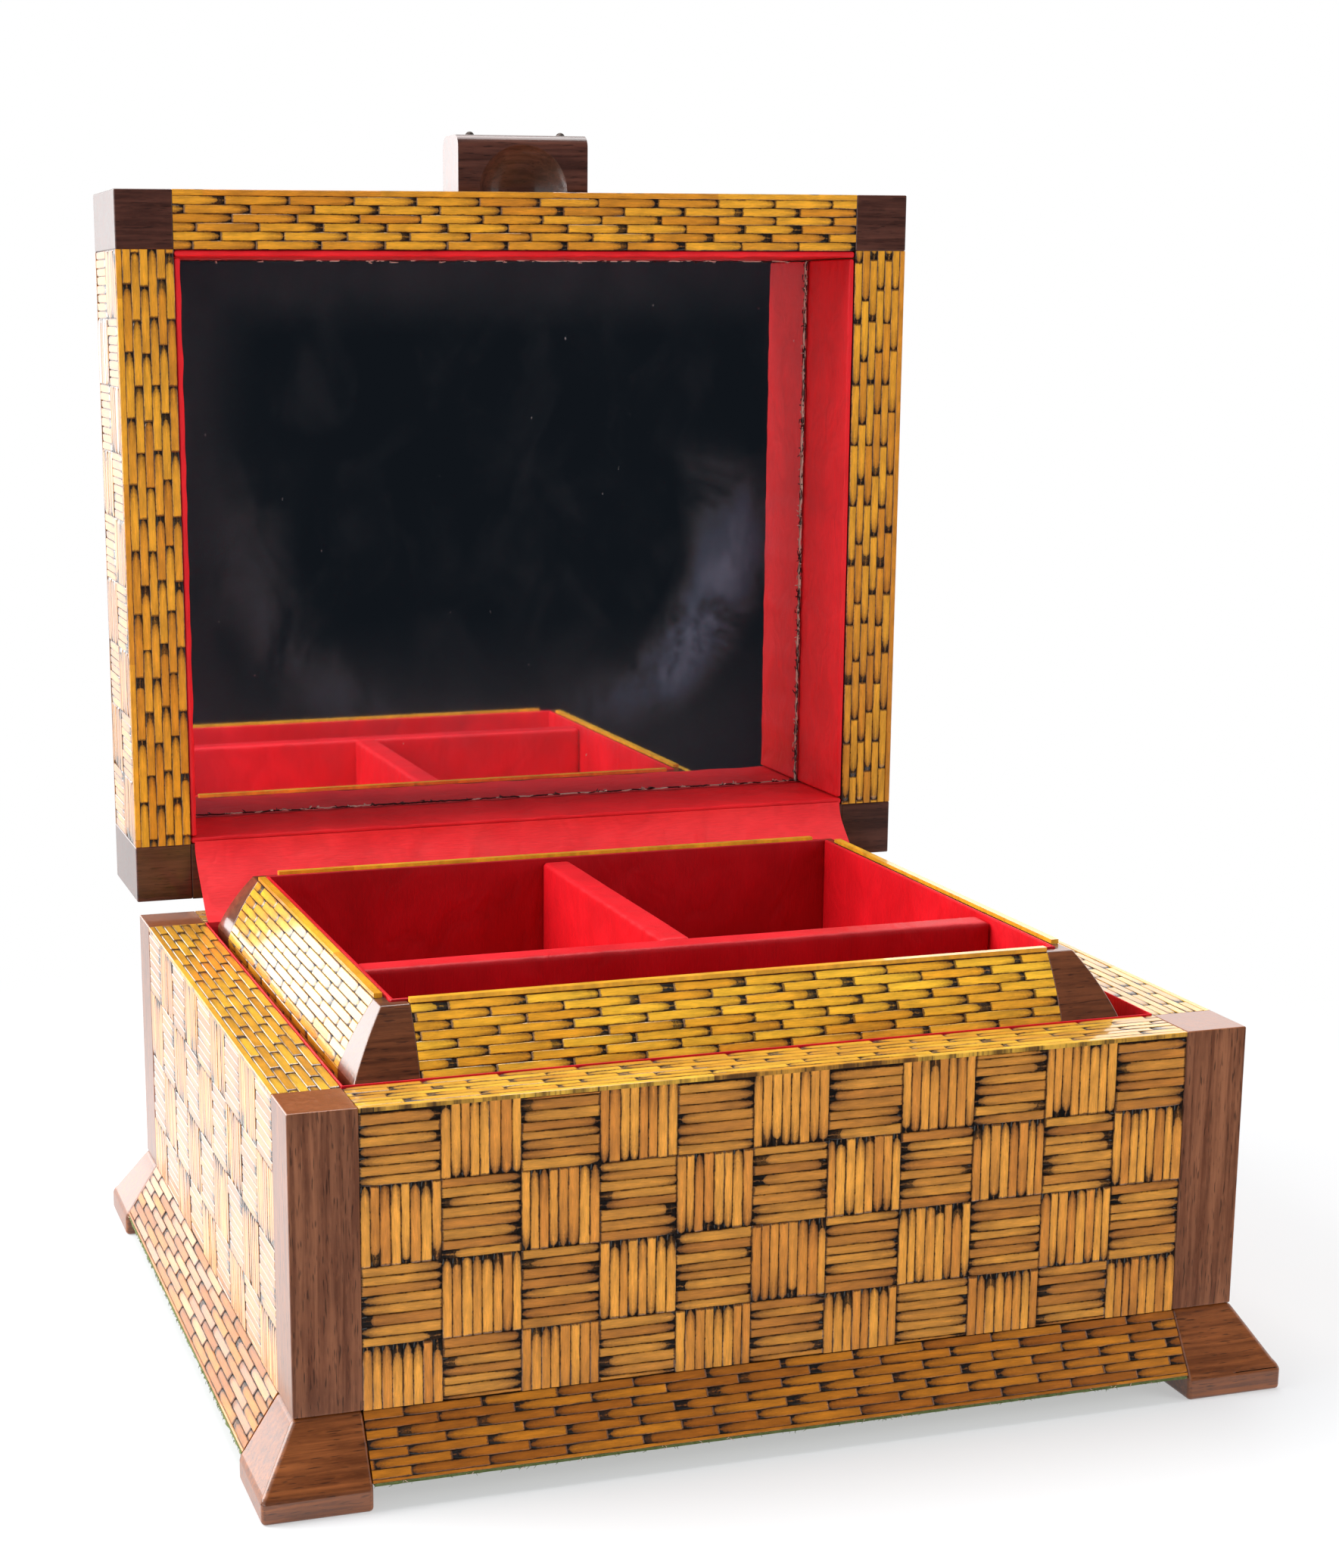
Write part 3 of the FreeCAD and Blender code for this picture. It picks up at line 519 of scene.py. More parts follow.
def placed(name, data):
    """A new object in the scene."""
    made = bpy.data.objects.new(name, data)
    bpy.context.scene.collection.objects.link(made)
    return made


def from_bmesh(name, bm, material):
    """A new object of a bmesh, which is freed."""
    mesh = bpy.data.meshes.new(name)
    bm.to_mesh(mesh)
    bm.free()
    mesh.materials.append(material)
    return placed(name, mesh)


def new_piece(name, vertices, faces, materials, body):
    """An object that rides on a body. Faces is a list, or a list of (face, material number)."""
    mesh = bpy.data.meshes.new(name)
    numbered = isinstance(faces[0][0], (tuple, list))
    mesh.from_pydata(vertices, [], [f[0] for f in faces] if numbered else faces)
    for material in materials:
        mesh.materials.append(material)
    if numbered:
        mesh.polygons.foreach_set("material_index", [f[1] for f in faces])
    mesh.update()
    piece = placed(name, mesh)
    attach(piece, body)
    return piece


def smooth_faces(piece, angle=40):
    piece.data.polygons.foreach_set("use_smooth", [True] * len(piece.data.polygons))
    piece.data.set_sharp_from_angle(angle=math.radians(angle))


def softened(node, body, material, radius):
    """A copy of a CAD node with its sharp edges eased, which stands for the node."""
    bm = bmesh.new()
    bm.from_mesh(frame["nodes"][node].data)
    bmesh.ops.remove_doubles(bm, verts=bm.verts, dist=0.005 * MM)
    flat = math.radians(1.0)
    bmesh.ops.dissolve_limit(
        bm, angle_limit=flat, verts=bm.verts, edges=bm.edges, use_dissolve_boundaries=False
    )
    piece = from_bmesh(f"{node}_finished", bm, material)
    smooth_faces(piece, 35)
    bevel = piece.modifiers.new("eased_edges", "BEVEL")
    bevel.width = radius
    bevel.segments = 3
    bevel.limit_method = "ANGLE"
    bevel.angle_limit = math.radians(30)
    bevel.harden_normals = True
    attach(piece, body)
    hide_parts(node)


def steps_between(low, high, radius, step):
    """Grid lines of a side: close together within the rounding, even between."""
    count = max(1, round((high - low - 2 * radius) / step))
    inner = [low + radius + (high - low - 2 * radius) * i / count for i in range(count + 1)]
    ends = [0.0, 0.12, 0.35, 0.65]
    return [low + radius * e for e in ends] + inner + [high - radius * e for e in reversed(ends)]


def rounded_slab(low, high, radius, step, push=None):
    """Vertices and faces of a block with rounded edges on a grid; push(point, normal) moves points
    outwards along their normals, in metres."""
    lines = [steps_between(low[k], high[k], radius, step) for k in range(3)]
    index = {}
    vertices = []
    faces = []

    def vertex(i, j, k):
        key = (i, j, k)
        if key not in index:
            point = Vector((lines[0][i], lines[1][j], lines[2][k]))
            core = Vector([min(max(point[a], low[a] + radius), high[a] - radius) for a in range(3)])
            out = point - core
            if out.length > 1e-9:
                normal = out.normalized()
                place = core + normal * radius
            else:
                normal = Z
                place = point
            if push:
                place = place + normal * push(place, normal)
            index[key] = len(vertices)
            vertices.append(place)
        return index[key]

    size = [len(line) for line in lines]
    for axis in range(3):
        u, v = (axis + 1) % 3, (axis + 2) % 3
        for end in (0, size[axis] - 1):
            for i in range(size[u] - 1):
                for j in range(size[v] - 1):
                    corners = []
                    for a, b in ((i, j), (i + 1, j), (i + 1, j + 1), (i, j + 1)):
                        key = [0, 0, 0]
                        key[axis], key[u], key[v] = end, a, b
                        corners.append(vertex(*key))
                    faces.append(tuple(corners) if end else tuple(reversed(corners)))
    return vertices, faces


def waves(seed, count, low, high, share=1.0):
    """A sum of slow sine waves in three directions, between -share and share."""
    rng = random.Random(seed)
    parts = []
    for _ in range(count):
        turn = Vector((rng.gauss(0, 1), rng.gauss(0, 1), rng.gauss(0, 1))).normalized()
        parts.append((turn * (2 * math.pi / rng.uniform(low, high)), rng.uniform(0, 2 * math.pi)))
    return lambda p: share * sum(math.sin(p.dot(k) + phase) for k, phase in parts) / count


def fibres(name, strands, radius, materials, body, share):
    """Thin three-sided threads through points; a share of them takes the second material."""
    rng = random.Random(len(strands))
    vertices = []
    faces = []
    for points in strands:
        number = 1 if rng.random() < share else 0
        base = len(vertices)
        run = (points[-1] - points[0]).normalized()
        side = run.orthogonal().normalized()
        up = run.cross(side)
        for k, point in enumerate(points):
            size = radius * (1.0 if k < len(points) - 1 else 0.5)
            for turn in (0.0, 2 * math.pi / 3, 4 * math.pi / 3):
                vertices.append(point + (side * math.cos(turn) + up * math.sin(turn)) * size)
        for k in range(len(points) - 1):
            a = base + 3 * k
            for i in range(3):
                j = (i + 1) % 3
                faces.append(((a + i, a + j, a + 3 + j, a + 3 + i), number))
        last = base + 3 * (len(points) - 1)
        faces.append(((base + 2, base + 1, base), number))
        faces.append(((last, last + 1, last + 2), number))
    return new_piece(name, vertices, faces, materials, body)


# Matchstick panels

class Panel:
    """A flat face of the box: s runs along it, t across it, and h out of it, in metres."""

    def __init__(self, origin, along, across, length, width, depth):
        self.origin = Vector(origin)
        self.along = along
        self.across = across
        self.out = along.cross(across)
        self.length = length
        self.width = width
        self.depth = depth

    def place(self, s, t, h):
        return self.origin + self.along * s + self.across * t + self.out * h

    def ground(self, inset=0.0):
        """The board under the sticks, as a closed block; inset keeps it back from the near edge."""
        corners = [(0, inset), (self.length, inset), (self.length, self.width), (0, self.width)]
        low = [self.place(s, t, -self.depth) for s, t in corners]
        high = [self.place(s, t, -STICK_GROOVE) for s, t in corners]
        sides = [(i, (i + 1) % 4, (i + 1) % 4 + 4, i + 4) for i in range(4)]
        return low + high, [(3, 2, 1, 0), (4, 5, 6, 7)] + sides


class Sticks:
    """Collects matchsticks of one panel and turns them into one mesh. Sizes in millimetres."""

    # At five places from the tail to the tip: the share of the width, and how far the top drops
    WIDTHS = (0.95, 1.0, 1.0, 0.94, 0.76)
    DROPS = (0.14, 0.0, 0.0, 0.05, 0.24)
    BEVEL = 0.2
    GAP = 0.03
    SINK = 0.1
    TILT = 0.035
    SHORTEST = 0.5
    NO_TIP = 99.0
    PAST_TAIL = 2.0

    def __init__(self, panel, seed):
        self.panel = panel
        self.rng = random.Random(seed)
        self.vertices = []
        self.faces = []
        self.front = []
        self.back = []
        self.edges = (0.0, panel.width)

    def lay(self, start, end, low, high, lengthwise, tip_at_end, clip=None, plain=0.0,
            foot=STICK_FOOT):
        """One stick from start to end, between low and high across it. Clip cuts its length, plain
        is for one without a tip and says how far its edges stay clean, and foot is how far below
        the surface it reaches."""
        rng = self.rng
        length = (end - start) / MM
        half = (high - low) / 2 / MM
        seed = rng.random()
        sink = rng.uniform(0.0, self.SINK)
        tilt = rng.uniform(-self.TILT, self.TILT)
        cut = (0.0, length)
        if clip:
            a, b = (clip[0] - start) / MM, (clip[1] - start) / MM
            if not tip_at_end:
                a, b = length - b, length - a
            cut = (max(0.0, a), min(length, b))
        if cut[1] - cut[0] < self.SHORTEST:
            return
        neck, nose = length - min(3.0, 0.4 * length), length - min(1.2, 0.2 * length)
        marks = (0.0, min(0.4, 0.1 * length), neck, nose, length)
        inner = [m for m in marks if cut[0] + 0.05 < m < cut[1] - 0.05]
        rings = [cut[0], *inner, cut[1]]
        widths = (1, 1, 1, 1, 1) if plain else self.WIDTHS
        drops = (0, 0, 0, 0, 0) if plain else self.DROPS
        middle = (low + high) / 2
        floor = -foot / MM
        base = len(self.vertices)
        for a in rings:
            w = half * float(np.interp(a, marks, widths)) - self.GAP
            top = -sink - float(np.interp(a, marks, drops))
            shoulder = top - self.BEVEL * 0.8
            profile = (
                (-w, floor), (-w, shoulder), (-w + self.BEVEL, top + tilt * w),
                (w - self.BEVEL, top - tilt * w), (w, shoulder), (w, floor),
            )
            run = start + a * MM if tip_at_end else end - a * MM
            for b, h in profile:
                side = middle + b * MM
                s, t = (run, side) if lengthwise else (side, run)
                self.vertices.append(self.panel.place(s, t, min(h, 0.0) * MM))
                self.front.append((self.NO_TIP if plain else length - a, b, seed))
                tail = a + (self.PAST_TAIL if plain else 0.0)
                self.back.append((tail, w + (plain or self.GAP), 0.0 if lengthwise else 1.0))
        faces = []
        for r in range(len(rings) - 1):
            for k in range(6):
                a, b = base + 6 * r + k, base + 6 * r + (k + 1) % 6
                faces.append((a, b, b + 6, a + 6))
        last = base + 6 * (len(rings) - 1)
        faces += [tuple(reversed(range(base, base + 6))), tuple(range(last, last + 6))]
        if lengthwise == tip_at_end:
            faces = [tuple(reversed(face)) for face in faces]
        self.faces += faces

    def bricks(self, low, rows, pitch, tip_at_end=False, holes=()):
        """Rows of sticks in running bond; holes are (s0, s1, t0, t1) areas left free."""
        rng = self.rng
        length = self.panel.length
        for row in range(rows):
            t0 = low + row * pitch
            t1 = t0 + pitch
            blocked = [h for h in holes if h[2] < t1 and h[3] > t0]
            at = -STICK_LENGTH * (0.5 + 0.5 * (row % 2)) + rng.uniform(-ROW_SPREAD, ROW_SPREAD)
            while at < length:
                size = STICK_LENGTH + rng.uniform(-LENGTH_SPREAD, LENGTH_SPREAD)
                spans = [(max(0.0, at), min(length, at + size))]
                for s0, s1, _, _ in blocked:
                    spans = [
                        part for a, b in spans for part in ((a, min(b, s0)), (max(a, s1), b))
                        if part[1] - part[0] > self.SHORTEST * MM
                    ]
                for span in spans:
                    self.lay(at, at + size, t0, t1, True, tip_at_end, span)
                at += size

    def strip(self, low, high, foot=STICK_FOOT, clean=CLEAN_EDGE):
        """A plain strip along the whole panel, in a few lengths."""
        at = -self.rng.uniform(0.0, 0.8) * EDGE_STRIP_LENGTH
        while at < self.panel.length:
            end = at + EDGE_STRIP_LENGTH
            span = (max(0.0, at), min(self.panel.length, end))
            self.lay(at, end, low, high, True, True, span, clean, foot)
            at = end

    def tile(self, s0, s1, t0, t1, lengthwise):
        """Eight sticks side by side, cut where they run over the panel's near or far edge."""
        rng = self.rng
        near, far = self.edges
        low, high = (t0, t1) if lengthwise else (s0, s1)
        start, end = (s0, s1) if lengthwise else (t0, t1)
        spread = (1 - WIDTH_SPREAD, 1 + WIDTH_SPREAD)
        parts = [rng.uniform(*spread) for _ in range(STICKS_PER_TILE)]
        at = low
        for part in parts:
            width = (high - low) * part / sum(parts)
            a, b = at, at + width
            at += width
            tip_at_end = rng.random() < 0.5
            if not lengthwise:
                self.lay(start, end, a, b, False, tip_at_end, (max(start, near), min(end, far)))
            elif min(b, far) - max(a, near) > SLIVER:
                self.lay(start, end, max(a, near), min(b, far), True, tip_at_end)

    def tiles(self, columns, first_lengthwise, near=0.0, shift=0.0, height=TILE_HEIGHT):
        """Basket weave from t = near to the far edge; shift is what the first row loses."""
        self.edges = (near, self.panel.width)
        step = self.panel.length / columns
        row = 0
        t0 = near - shift
        while t0 < self.panel.width - LAST_TILE:
            for column in range(columns):
                lengthwise = (row + column) % 2 == (0 if first_lengthwise else 1)
                self.tile(column * step, (column + 1) * step, t0, t0 + height, lengthwise)
            t0 += height
            row += 1

    def piece(self, name, material, body, ground, node=None):
        """One object of the sticks and the ground under them, which stands for a CAD node."""
        ground_vertices, ground_faces = ground
        count = len(self.vertices)
        faces = [(f, 0) for f in self.faces]
        faces += [(tuple(i + count for i in f), 1) for f in ground_faces]
        vertices = self.vertices + list(ground_vertices)
        made = new_piece(name, vertices, faces, [material, GROUND], body)
        for label, rows in (("stick", self.front), ("stick_back", self.back)):
            layer = made.data.attributes.new(label, "FLOAT_VECTOR", "POINT")
            flat = [v for row in rows for v in row] + [0.0] * (3 * len(ground_vertices))
            layer.data.foreach_set("vector", flat)
        if node:
            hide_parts(node)


# Where things are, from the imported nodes
POST_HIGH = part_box("base_post_back_right")
OUT_X = POST_HIGH[1].x
IN_X = POST_HIGH[0].x
OUT_Y = POST_HIGH[1].y
IN_Y = POST_HIGH[0].y
RIM_Z = POST_HIGH[1].z
SKIRT_TOP_Z = POST_HIGH[0].z
VENEER = OUT_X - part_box("base_wall_right")[1].x
LID_CORNER_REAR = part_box("lid_corner_rear_left")
LID_CORNER_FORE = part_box("lid_corner_fore_left")
LID_FACE = LID_CORNER_REAR[0].y
LID_BACK = LID_CORNER_REAR[1].y
LID_LOW = LID_CORNER_REAR[0].z
LID_HIGH = LID_CORNER_FORE[1].z
LID_IN_LOW = LID_CORNER_REAR[1].z
LID_IN_HIGH = LID_CORNER_FORE[0].z
BAND = OUT_X - IN_X
TRAY_SHOULDER_Z = RIM_Z - TRAY_SHOULDER
BASE_LOW, BASE_HIGH = Vector((-OUT_X, -OUT_Y)), Vector((OUT_X, OUT_Y))
INNER_LOW, INNER_HIGH = Vector((-IN_X, -IN_Y)), Vector((IN_X, IN_Y))
LEAF_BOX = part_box("base_hinge_leaves")
HINGE = next(j for j in frame["joints"] if j["name"] == "lid_hinge")
PIN = Vector(HINGE["pos_m"])


def box_sides(z, low, high, inner_low, inner_high):
    """The sides of an upright box between its corners: name, start, direction, way out, length."""
    long, deep = inner_high.x - inner_low.x, inner_high.y - inner_low.y
    return (
        ("front", Vector((inner_low.x, low.y, z)), X, -Y, long),
        ("back", Vector((inner_high.x, high.y, z)), -X, Y, long),
        ("left", Vector((low.x, inner_high.y, z)), -Y, -X, deep),
        ("right", Vector((high.x, inner_low.y, z)), Y, X, deep),
    )


def lid_sides(y):
    """The lid's four sides, seen from behind: name, start, direction, way in, length."""
    long, deep = 2 * IN_X, LID_IN_HIGH - LID_IN_LOW
    return (
        ("fore", Vector((-IN_X, y, LID_HIGH)), X, -Z, long),
        ("rear", Vector((IN_X, y, LID_LOW)), -X, Z, long),
        ("left", Vector((-OUT_X, y, LID_IN_LOW)), Z, X, deep),
        ("right", Vector((OUT_X, y, LID_IN_HIGH)), -Z, -X, deep),
    )


def columns_along(direction):
    return TILE_COLUMNS if direction.x else TILE_ROWS_DEEP


def brick_band(name, origin, along, across, length, material, body, seed, node=None, holes=()):
    """A rim band: a plain strip on the outer edge and rows of sticks inside it."""
    panel = Panel(origin, along, across, length, BAND, VENEER)
    sticks = Sticks(panel, seed)
    sticks.strip(0.0, EDGE_STRIP, VENEER)
    sticks.bricks(EDGE_STRIP, BAND_ROWS, (BAND - EDGE_STRIP) / BAND_ROWS, holes=holes)
    sticks.piece(name, material, body, panel.ground(0.5 * EDGE_STRIP), node)


def hinge_gaps():
    """Where the two hinges lie along the back edge, with a little play."""
    middle = -LEAF_BOX[0].x - HINGE_HALF
    reach = HINGE_HALF + HINGE_PLAY
    return [(side * middle - reach, side * middle + reach) for side in (-1, 1)]


def base_rim():
    """The four bands on top of the base."""
    reach = OUT_Y - LEAF_BOX[0].y + HINGE_PLAY
    leaves = [(IN_X + a, IN_X + b, 0.0, reach) for a, b in hinge_gaps()]
    sides = box_sides(RIM_Z, BASE_LOW, BASE_HIGH, INNER_LOW, INNER_HIGH)
    for number, (side, start, along, out, length) in enumerate(sides):
        brick_band(
            f"base_rim_{side}", start, along, -out, length, STICKS_RIM_PAINTED_TOP_LIGHT, "base", 11 + number,
            None if number else "base_rim_marquetry", leaves if side == "back" else ()
        )


def lid_rim():
    """The bands on the lid's rim, which faces the viewer when the lid is open. The one behind the
    hinge cloth is plain hardwood, let in round the hinge leaves."""
    for number, (side, start, along, inward, length) in enumerate(lid_sides(LID_FACE)):
        if side == "rear":
            continue
        brick_band(
            f"lid_rim_{side}", start + along * length, -along, inward, length, STICKS_LID, "lid",
            21 + number, None if number else "lid_rim_marquetry"
        )

    leaf_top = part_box("lid_hinge_leaves")[1].z + HINGE_PLAY
    stops = [-IN_X, *(edge for gap in hinge_gaps() for edge in gap), IN_X]
    vertices = []
    faces = []
    for k, (a, b) in enumerate(zip(stops, stops[1:])):
        low = Vector((a, LID_FACE, leaf_top if k % 2 else LID_LOW))
        high = Vector((b, LID_FACE + VENEER, LID_IN_LOW))
        block_vertices, block_faces = rounded_slab(low, high, BLOCK_EASED, BLOCK_STEP)
        faces += [tuple(i + len(vertices) for i in face) for face in block_faces]
        vertices += block_vertices
    band = new_piece("lid_rim_rear", vertices, faces, [LID_WOOD], "lid")
    smooth_faces(band)


def base_fields():
    """The faces of the base, laid from the rim down, whose thickness hides the top of the first
    row."""
    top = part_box("base_marquetry_front")[1].z
    sides = box_sides(top, BASE_LOW, BASE_HIGH, INNER_LOW, INNER_HIGH)
    for number, (side, start, along, _, length) in enumerate(sides):
        origin = start + along * length
        panel = Panel(origin, -along, -Z, length, top - SKIRT_TOP_Z, VENEER)
        sticks = Sticks(panel, 31 + number)
        sticks.tiles(columns_along(along), True, shift=FIELD_SHIFT)
        node = f"base_marquetry_{side}"
        sticks.piece(f"base_field_{side}", STICKS_FIELD, "base", panel.ground(), node)


def lid_outside():
    """The lid's four sides, two tiles high, and its top with a brick border round a tile field."""
    height = LID_BACK - LID_FACE - 2 * VENEER
    for number, (side, start, along, _, length) in enumerate(lid_sides(LID_FACE + VENEER)):
        panel = Panel(start, along, Y, length, height, VENEER)
        sticks = Sticks(panel, 41 + number)
        sticks.strip(0.0, LID_STRIP)
        tile = (height - LID_STRIP) / 2
        sticks.tiles(columns_along(along), number % 2 == 0, LID_STRIP, 0.0, tile)
        node = None if number else "lid_side_marquetry"
        sticks.piece(f"lid_side_{side}", STICKS_FIELD, "lid", panel.ground(), node)

    for number, (side, start, along, inward, length) in enumerate(lid_sides(LID_BACK)):
        brick_band(
            f"lid_top_{side}", start, along, inward, length, STICKS_FIELD, "lid", 51 + number,
            None if number else "lid_top_marquetry"
        )
    long, deep = 2 * IN_X, LID_IN_HIGH - LID_IN_LOW
    panel = Panel((IN_X, LID_BACK, LID_IN_LOW), -X, Z, long, deep, VENEER)
    sticks = Sticks(panel, 57)
    sticks.tiles(TILE_COLUMNS, True, height=deep / TILE_ROWS_DEEP)
    sticks.piece("lid_top_field", STICKS_FIELD, "lid", panel.ground())


class Slope(Panel):
    """A panel whose section is a polyline of (out, z) points below a straight edge. Its moulding
    reaches back to the distance back, and its top is sunk below that edge."""

    def __init__(self, origin, along, outward, length, profile, back, sunk=0.0):
        self.origin = Vector(origin)
        self.along = along
        self.outward = outward
        self.length = length
        self.back = back
        self.sunk = sunk
        self.points = [Vector(p) for p in profile]
        self.runs = [0.0]
        for a, b in zip(self.points, self.points[1:]):
            self.runs.append(self.runs[-1] + (b - a).length)
        self.width = self.runs[-1]

    def place(self, s, t, h):
        t = min(max(t, 0.0), self.width)
        k = 0
        while k < len(self.runs) - 2 and t > self.runs[k + 1]:
            k += 1
        a, b = self.points[k], self.points[k + 1]
        share = (t - self.runs[k]) / (self.runs[k + 1] - self.runs[k])
        at = a.lerp(b, share)
        direction = (b - a).normalized()
        normal = Vector((-direction.y, direction.x))
        at = at + normal * h
        return self.origin + self.along * s + self.outward * at.x + Z * at.y

    def ground(self):
        """The moulding behind the sticks: their ground in front, a flat back and flat ends."""
        section = [(t, -STICK_GROOVE) for t in self.runs]
        vertices = []
        low = self.points[-1].y
        high = self.points[0].y - self.sunk
        for s in (0.0, self.length):
            vertices += [self.place(s, t, h) for t, h in section]
            for out, z in ((self.back, low), (self.back, high)):
                vertices.append(self.origin + self.along * s + self.outward * out + Z * z)
        n = len(section) + 2
        sides = [(i, i + n, (i + 1) % n + n, (i + 1) % n) for i in range(n)]
        return vertices, [tuple(range(n)), tuple(reversed(range(n, 2 * n)))] + sides


def skirts():
    """Sloping mouldings with rows of sticks over a raw bottom edge."""
    low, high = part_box("skirt_front")
    profile = [(0, 0), (-OUT_Y - low.y, low.z - high.z)]
    sides = box_sides(high.z, BASE_LOW, BASE_HIGH, INNER_LOW, INNER_HIGH)
    for number, (side, start, along, out, length) in enumerate(sides):
        panel = Slope(start, along, out, length, profile, -VENEER)
        sticks = Sticks(panel, 61 + number)
        covered = panel.width - SKIRT_LIP
        sticks.bricks(0.0, SKIRT_ROWS, covered / SKIRT_ROWS)
        sticks.strip(covered, panel.width)
        node = f"skirt_{side}"
        sticks.piece(f"{node}_marquetry", STICKS_SKIRT, "base", panel.ground(), node)


def tray_profile():
    """The outside of a tray side from its top edge: a bulged slope, then upright, as (out, z)."""
    wall_low, wall_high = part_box("tray_wall_front")
    shoulder = TRAY_SHOULDER_Z - wall_high.z
    points = []
    for i in range(SLOPE_STEPS + 1):
        u = i / SLOPE_STEPS
        line = Vector((-TRAY_FLARE, 0)).lerp(Vector((0, shoulder)), u)
        normal = Vector((-shoulder, TRAY_FLARE)).normalized()
        points.append(line + normal * (4 * TRAY_BULGE * u * (1 - u)))
    points.append(Vector((0.0, wall_low.z - wall_high.z)))
    return points


def tray_walls():
    """Tray sides: rows of sticks on the slope and below it, and a thin strip along the top edge."""
    front_low, front_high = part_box("tray_wall_front")
    left_low, left_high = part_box("tray_wall_left")
    outer_low = Vector((left_low.x, front_low.y))
    outer_high = Vector((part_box("tray_wall_right")[1].x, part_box("tray_wall_back")[1].y))
    inner_low = Vector((front_low.x, left_low.y))
    inner_high = Vector((front_high.x, left_high.y))
    profile = tray_profile()
    inset = TRAY_FLARE + TRAY_RIM
    sides = box_sides(front_high.z, outer_low, outer_high, inner_low, inner_high)
    for number, (side, start, along, out, length) in enumerate(sides):
        panel = Slope(start, along, out, length, profile, -inset, STICK_GROOVE)
        sticks = Sticks(panel, 71 + number)
        pitch = panel.runs[SLOPE_STEPS] / TRAY_SLOPE_ROWS
        rows = int(panel.width / pitch)
        sticks.bricks(0.0, rows, pitch, tip_at_end=True)
        sticks.strip(rows * pitch, panel.width - TRAY_LOW_GAP)
        sticks.panel = Panel(start - out * inset, along, out, length, TRAY_RIM, VENEER)
        sticks.strip(*TRAY_STRIP, VENEER, TRAY_CLEAN_EDGE)
        node = f"tray_wall_{side}"
        sticks.piece(f"tray_side_{side}", STICKS_TRAY, "tray", panel.ground(), node)


# Hardwood corners, feet and handle

def corners():
    """Posts, feet, tray corners, lid corners and the handle."""
    for end in ("front", "back"):
        for side in ("left", "right"):
            softened(f"base_post_{end}_{side}", "base", POST_WOOD, EASED)
            softened(f"foot_{end}_{side}", "base", FOOT_WOOD, FOOT_EASED)
            softened(f"tray_corner_{end}_{side}", "tray", TRAY_WOOD, TRAY_EASED)
    for end in ("rear", "fore"):
        for side in ("left", "right"):
            softened(f"lid_corner_{end}_{side}", "lid", LID_WOOD, EASED)
    softened("lid_handle", "lid", LID_WOOD, EASED)


# Satin

def satin_slab(name, low, high, body, node, material, radius, depth, step, seed, ripple=None):
    """A satin-covered board: rounded edges and slow dents that stay inside the CAD solid, which it
    stands for if a node is named."""
    dent = waves(seed, 6, 14 * MM, 60 * MM)

    def push(point, normal):
        extra = ripple(point, normal) if ripple else 0.0
        return -depth * (0.5 + 0.5 * dent(point)) - extra

    vertices, faces = rounded_slab(Vector(low), Vector(high), radius, step, push)
    piece = new_piece(name, vertices, faces, [material], body)
    smooth_faces(piece, 80)
    if node:
        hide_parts(node)


def puckers(axis, pitch, depth, seed, facing):
    """Narrow upright gathers that show on faces turned one way."""
    rng = random.Random(seed)
    gathers = [(rng.uniform(0.6, 1.6) * pitch, rng.uniform(0, 2 * math.pi)) for _ in range(4)]

    def ripple(point, normal):
        turned = max(0.0, normal.dot(facing))
        total = sum(math.sin(2 * math.pi * point[axis] / size + phase) for size, phase in gathers)
        return depth * turned * (0.5 + 0.5 * total / len(gathers))

    return ripple


def box_lining(node, body, top, wall, cross, radii, depth, step, seed):
    """Satin boards on the floor and the walls of a box. Top is where the walls end, wall their
    thickness, and cross the material of those in front and at the back."""
    low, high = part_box(node)
    floor = low.z + LINING_FLOOR
    near, far = low.y + wall, high.y - wall
    parts = (
        ("floor", low, (high.x, high.y, floor), SATIN),
        ("front", (low.x, low.y, floor), (high.x, near, top), cross),
        ("back", (low.x, far, floor), (high.x, high.y, top), cross),
        ("left", (low.x, near, floor), (low.x + wall, far, top), SATIN_UPRIGHT),
        ("right", (high.x - wall, near, floor), (high.x, far, top), SATIN_UPRIGHT),
    )
    for number, (side, a, b, material) in enumerate(parts):
        satin_slab(
            f"{node}_{side}", a, b, body, None if number else node, material,
            radii[1] if number else radii[0], depth, step, seed + number
        )


def linings():
    """Satin inside the base and the tray, whose top edges stand a little above the walls."""
    box_lining(
        "base_lining", "base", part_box("base_lining")[1].z + 0.35 * MM, BASE_BOARD, SATIN_UPRIGHT,
        radii=(0.24 * MM, 0.24 * MM), depth=0.08 * MM, step=5 * MM, seed=80
    )
    box_lining(
        "tray_lining", "tray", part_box("tray_wall_front")[1].z + 0.6 * MM, TRAY_BOARD, SATIN_SHADED,
        radii=(0.28 * MM, 0.55 * MM), depth=0.12 * MM, step=3.5 * MM, seed=90
    )


def dividers():
    """Satin-wrapped dividers; the cloth's overlap shows as a line near one top edge."""
    parts = (
        ("tray_long_divider", 1, -Y, 101, SATIN_SHADED),
        ("tray_cross_divider", 0, -X, 102, SATIN_UPRIGHT),
    )
    wide = 0.28 * MM
    for node, thin, facing, seed, material in parts:
        low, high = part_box(node)
        seam = low[thin] + 1.9 * MM
        gather = puckers(1 - thin, 9 * MM, 0.35 * MM, seed, facing)

        def ripple(point, normal, seam=seam, thin=thin, gather=gather):
            fold = wide * math.exp(-(((point[thin] - seam) / wide) ** 2)) * max(0.0, normal.z)
            return gather(point, normal) + fold

        satin_slab(
            f"{node}_satin", low, high, "tray", node, material,
            radius=1.5 * MM, depth=0.15 * MM, step=1.1 * MM, seed=seed, ripple=ripple
        )


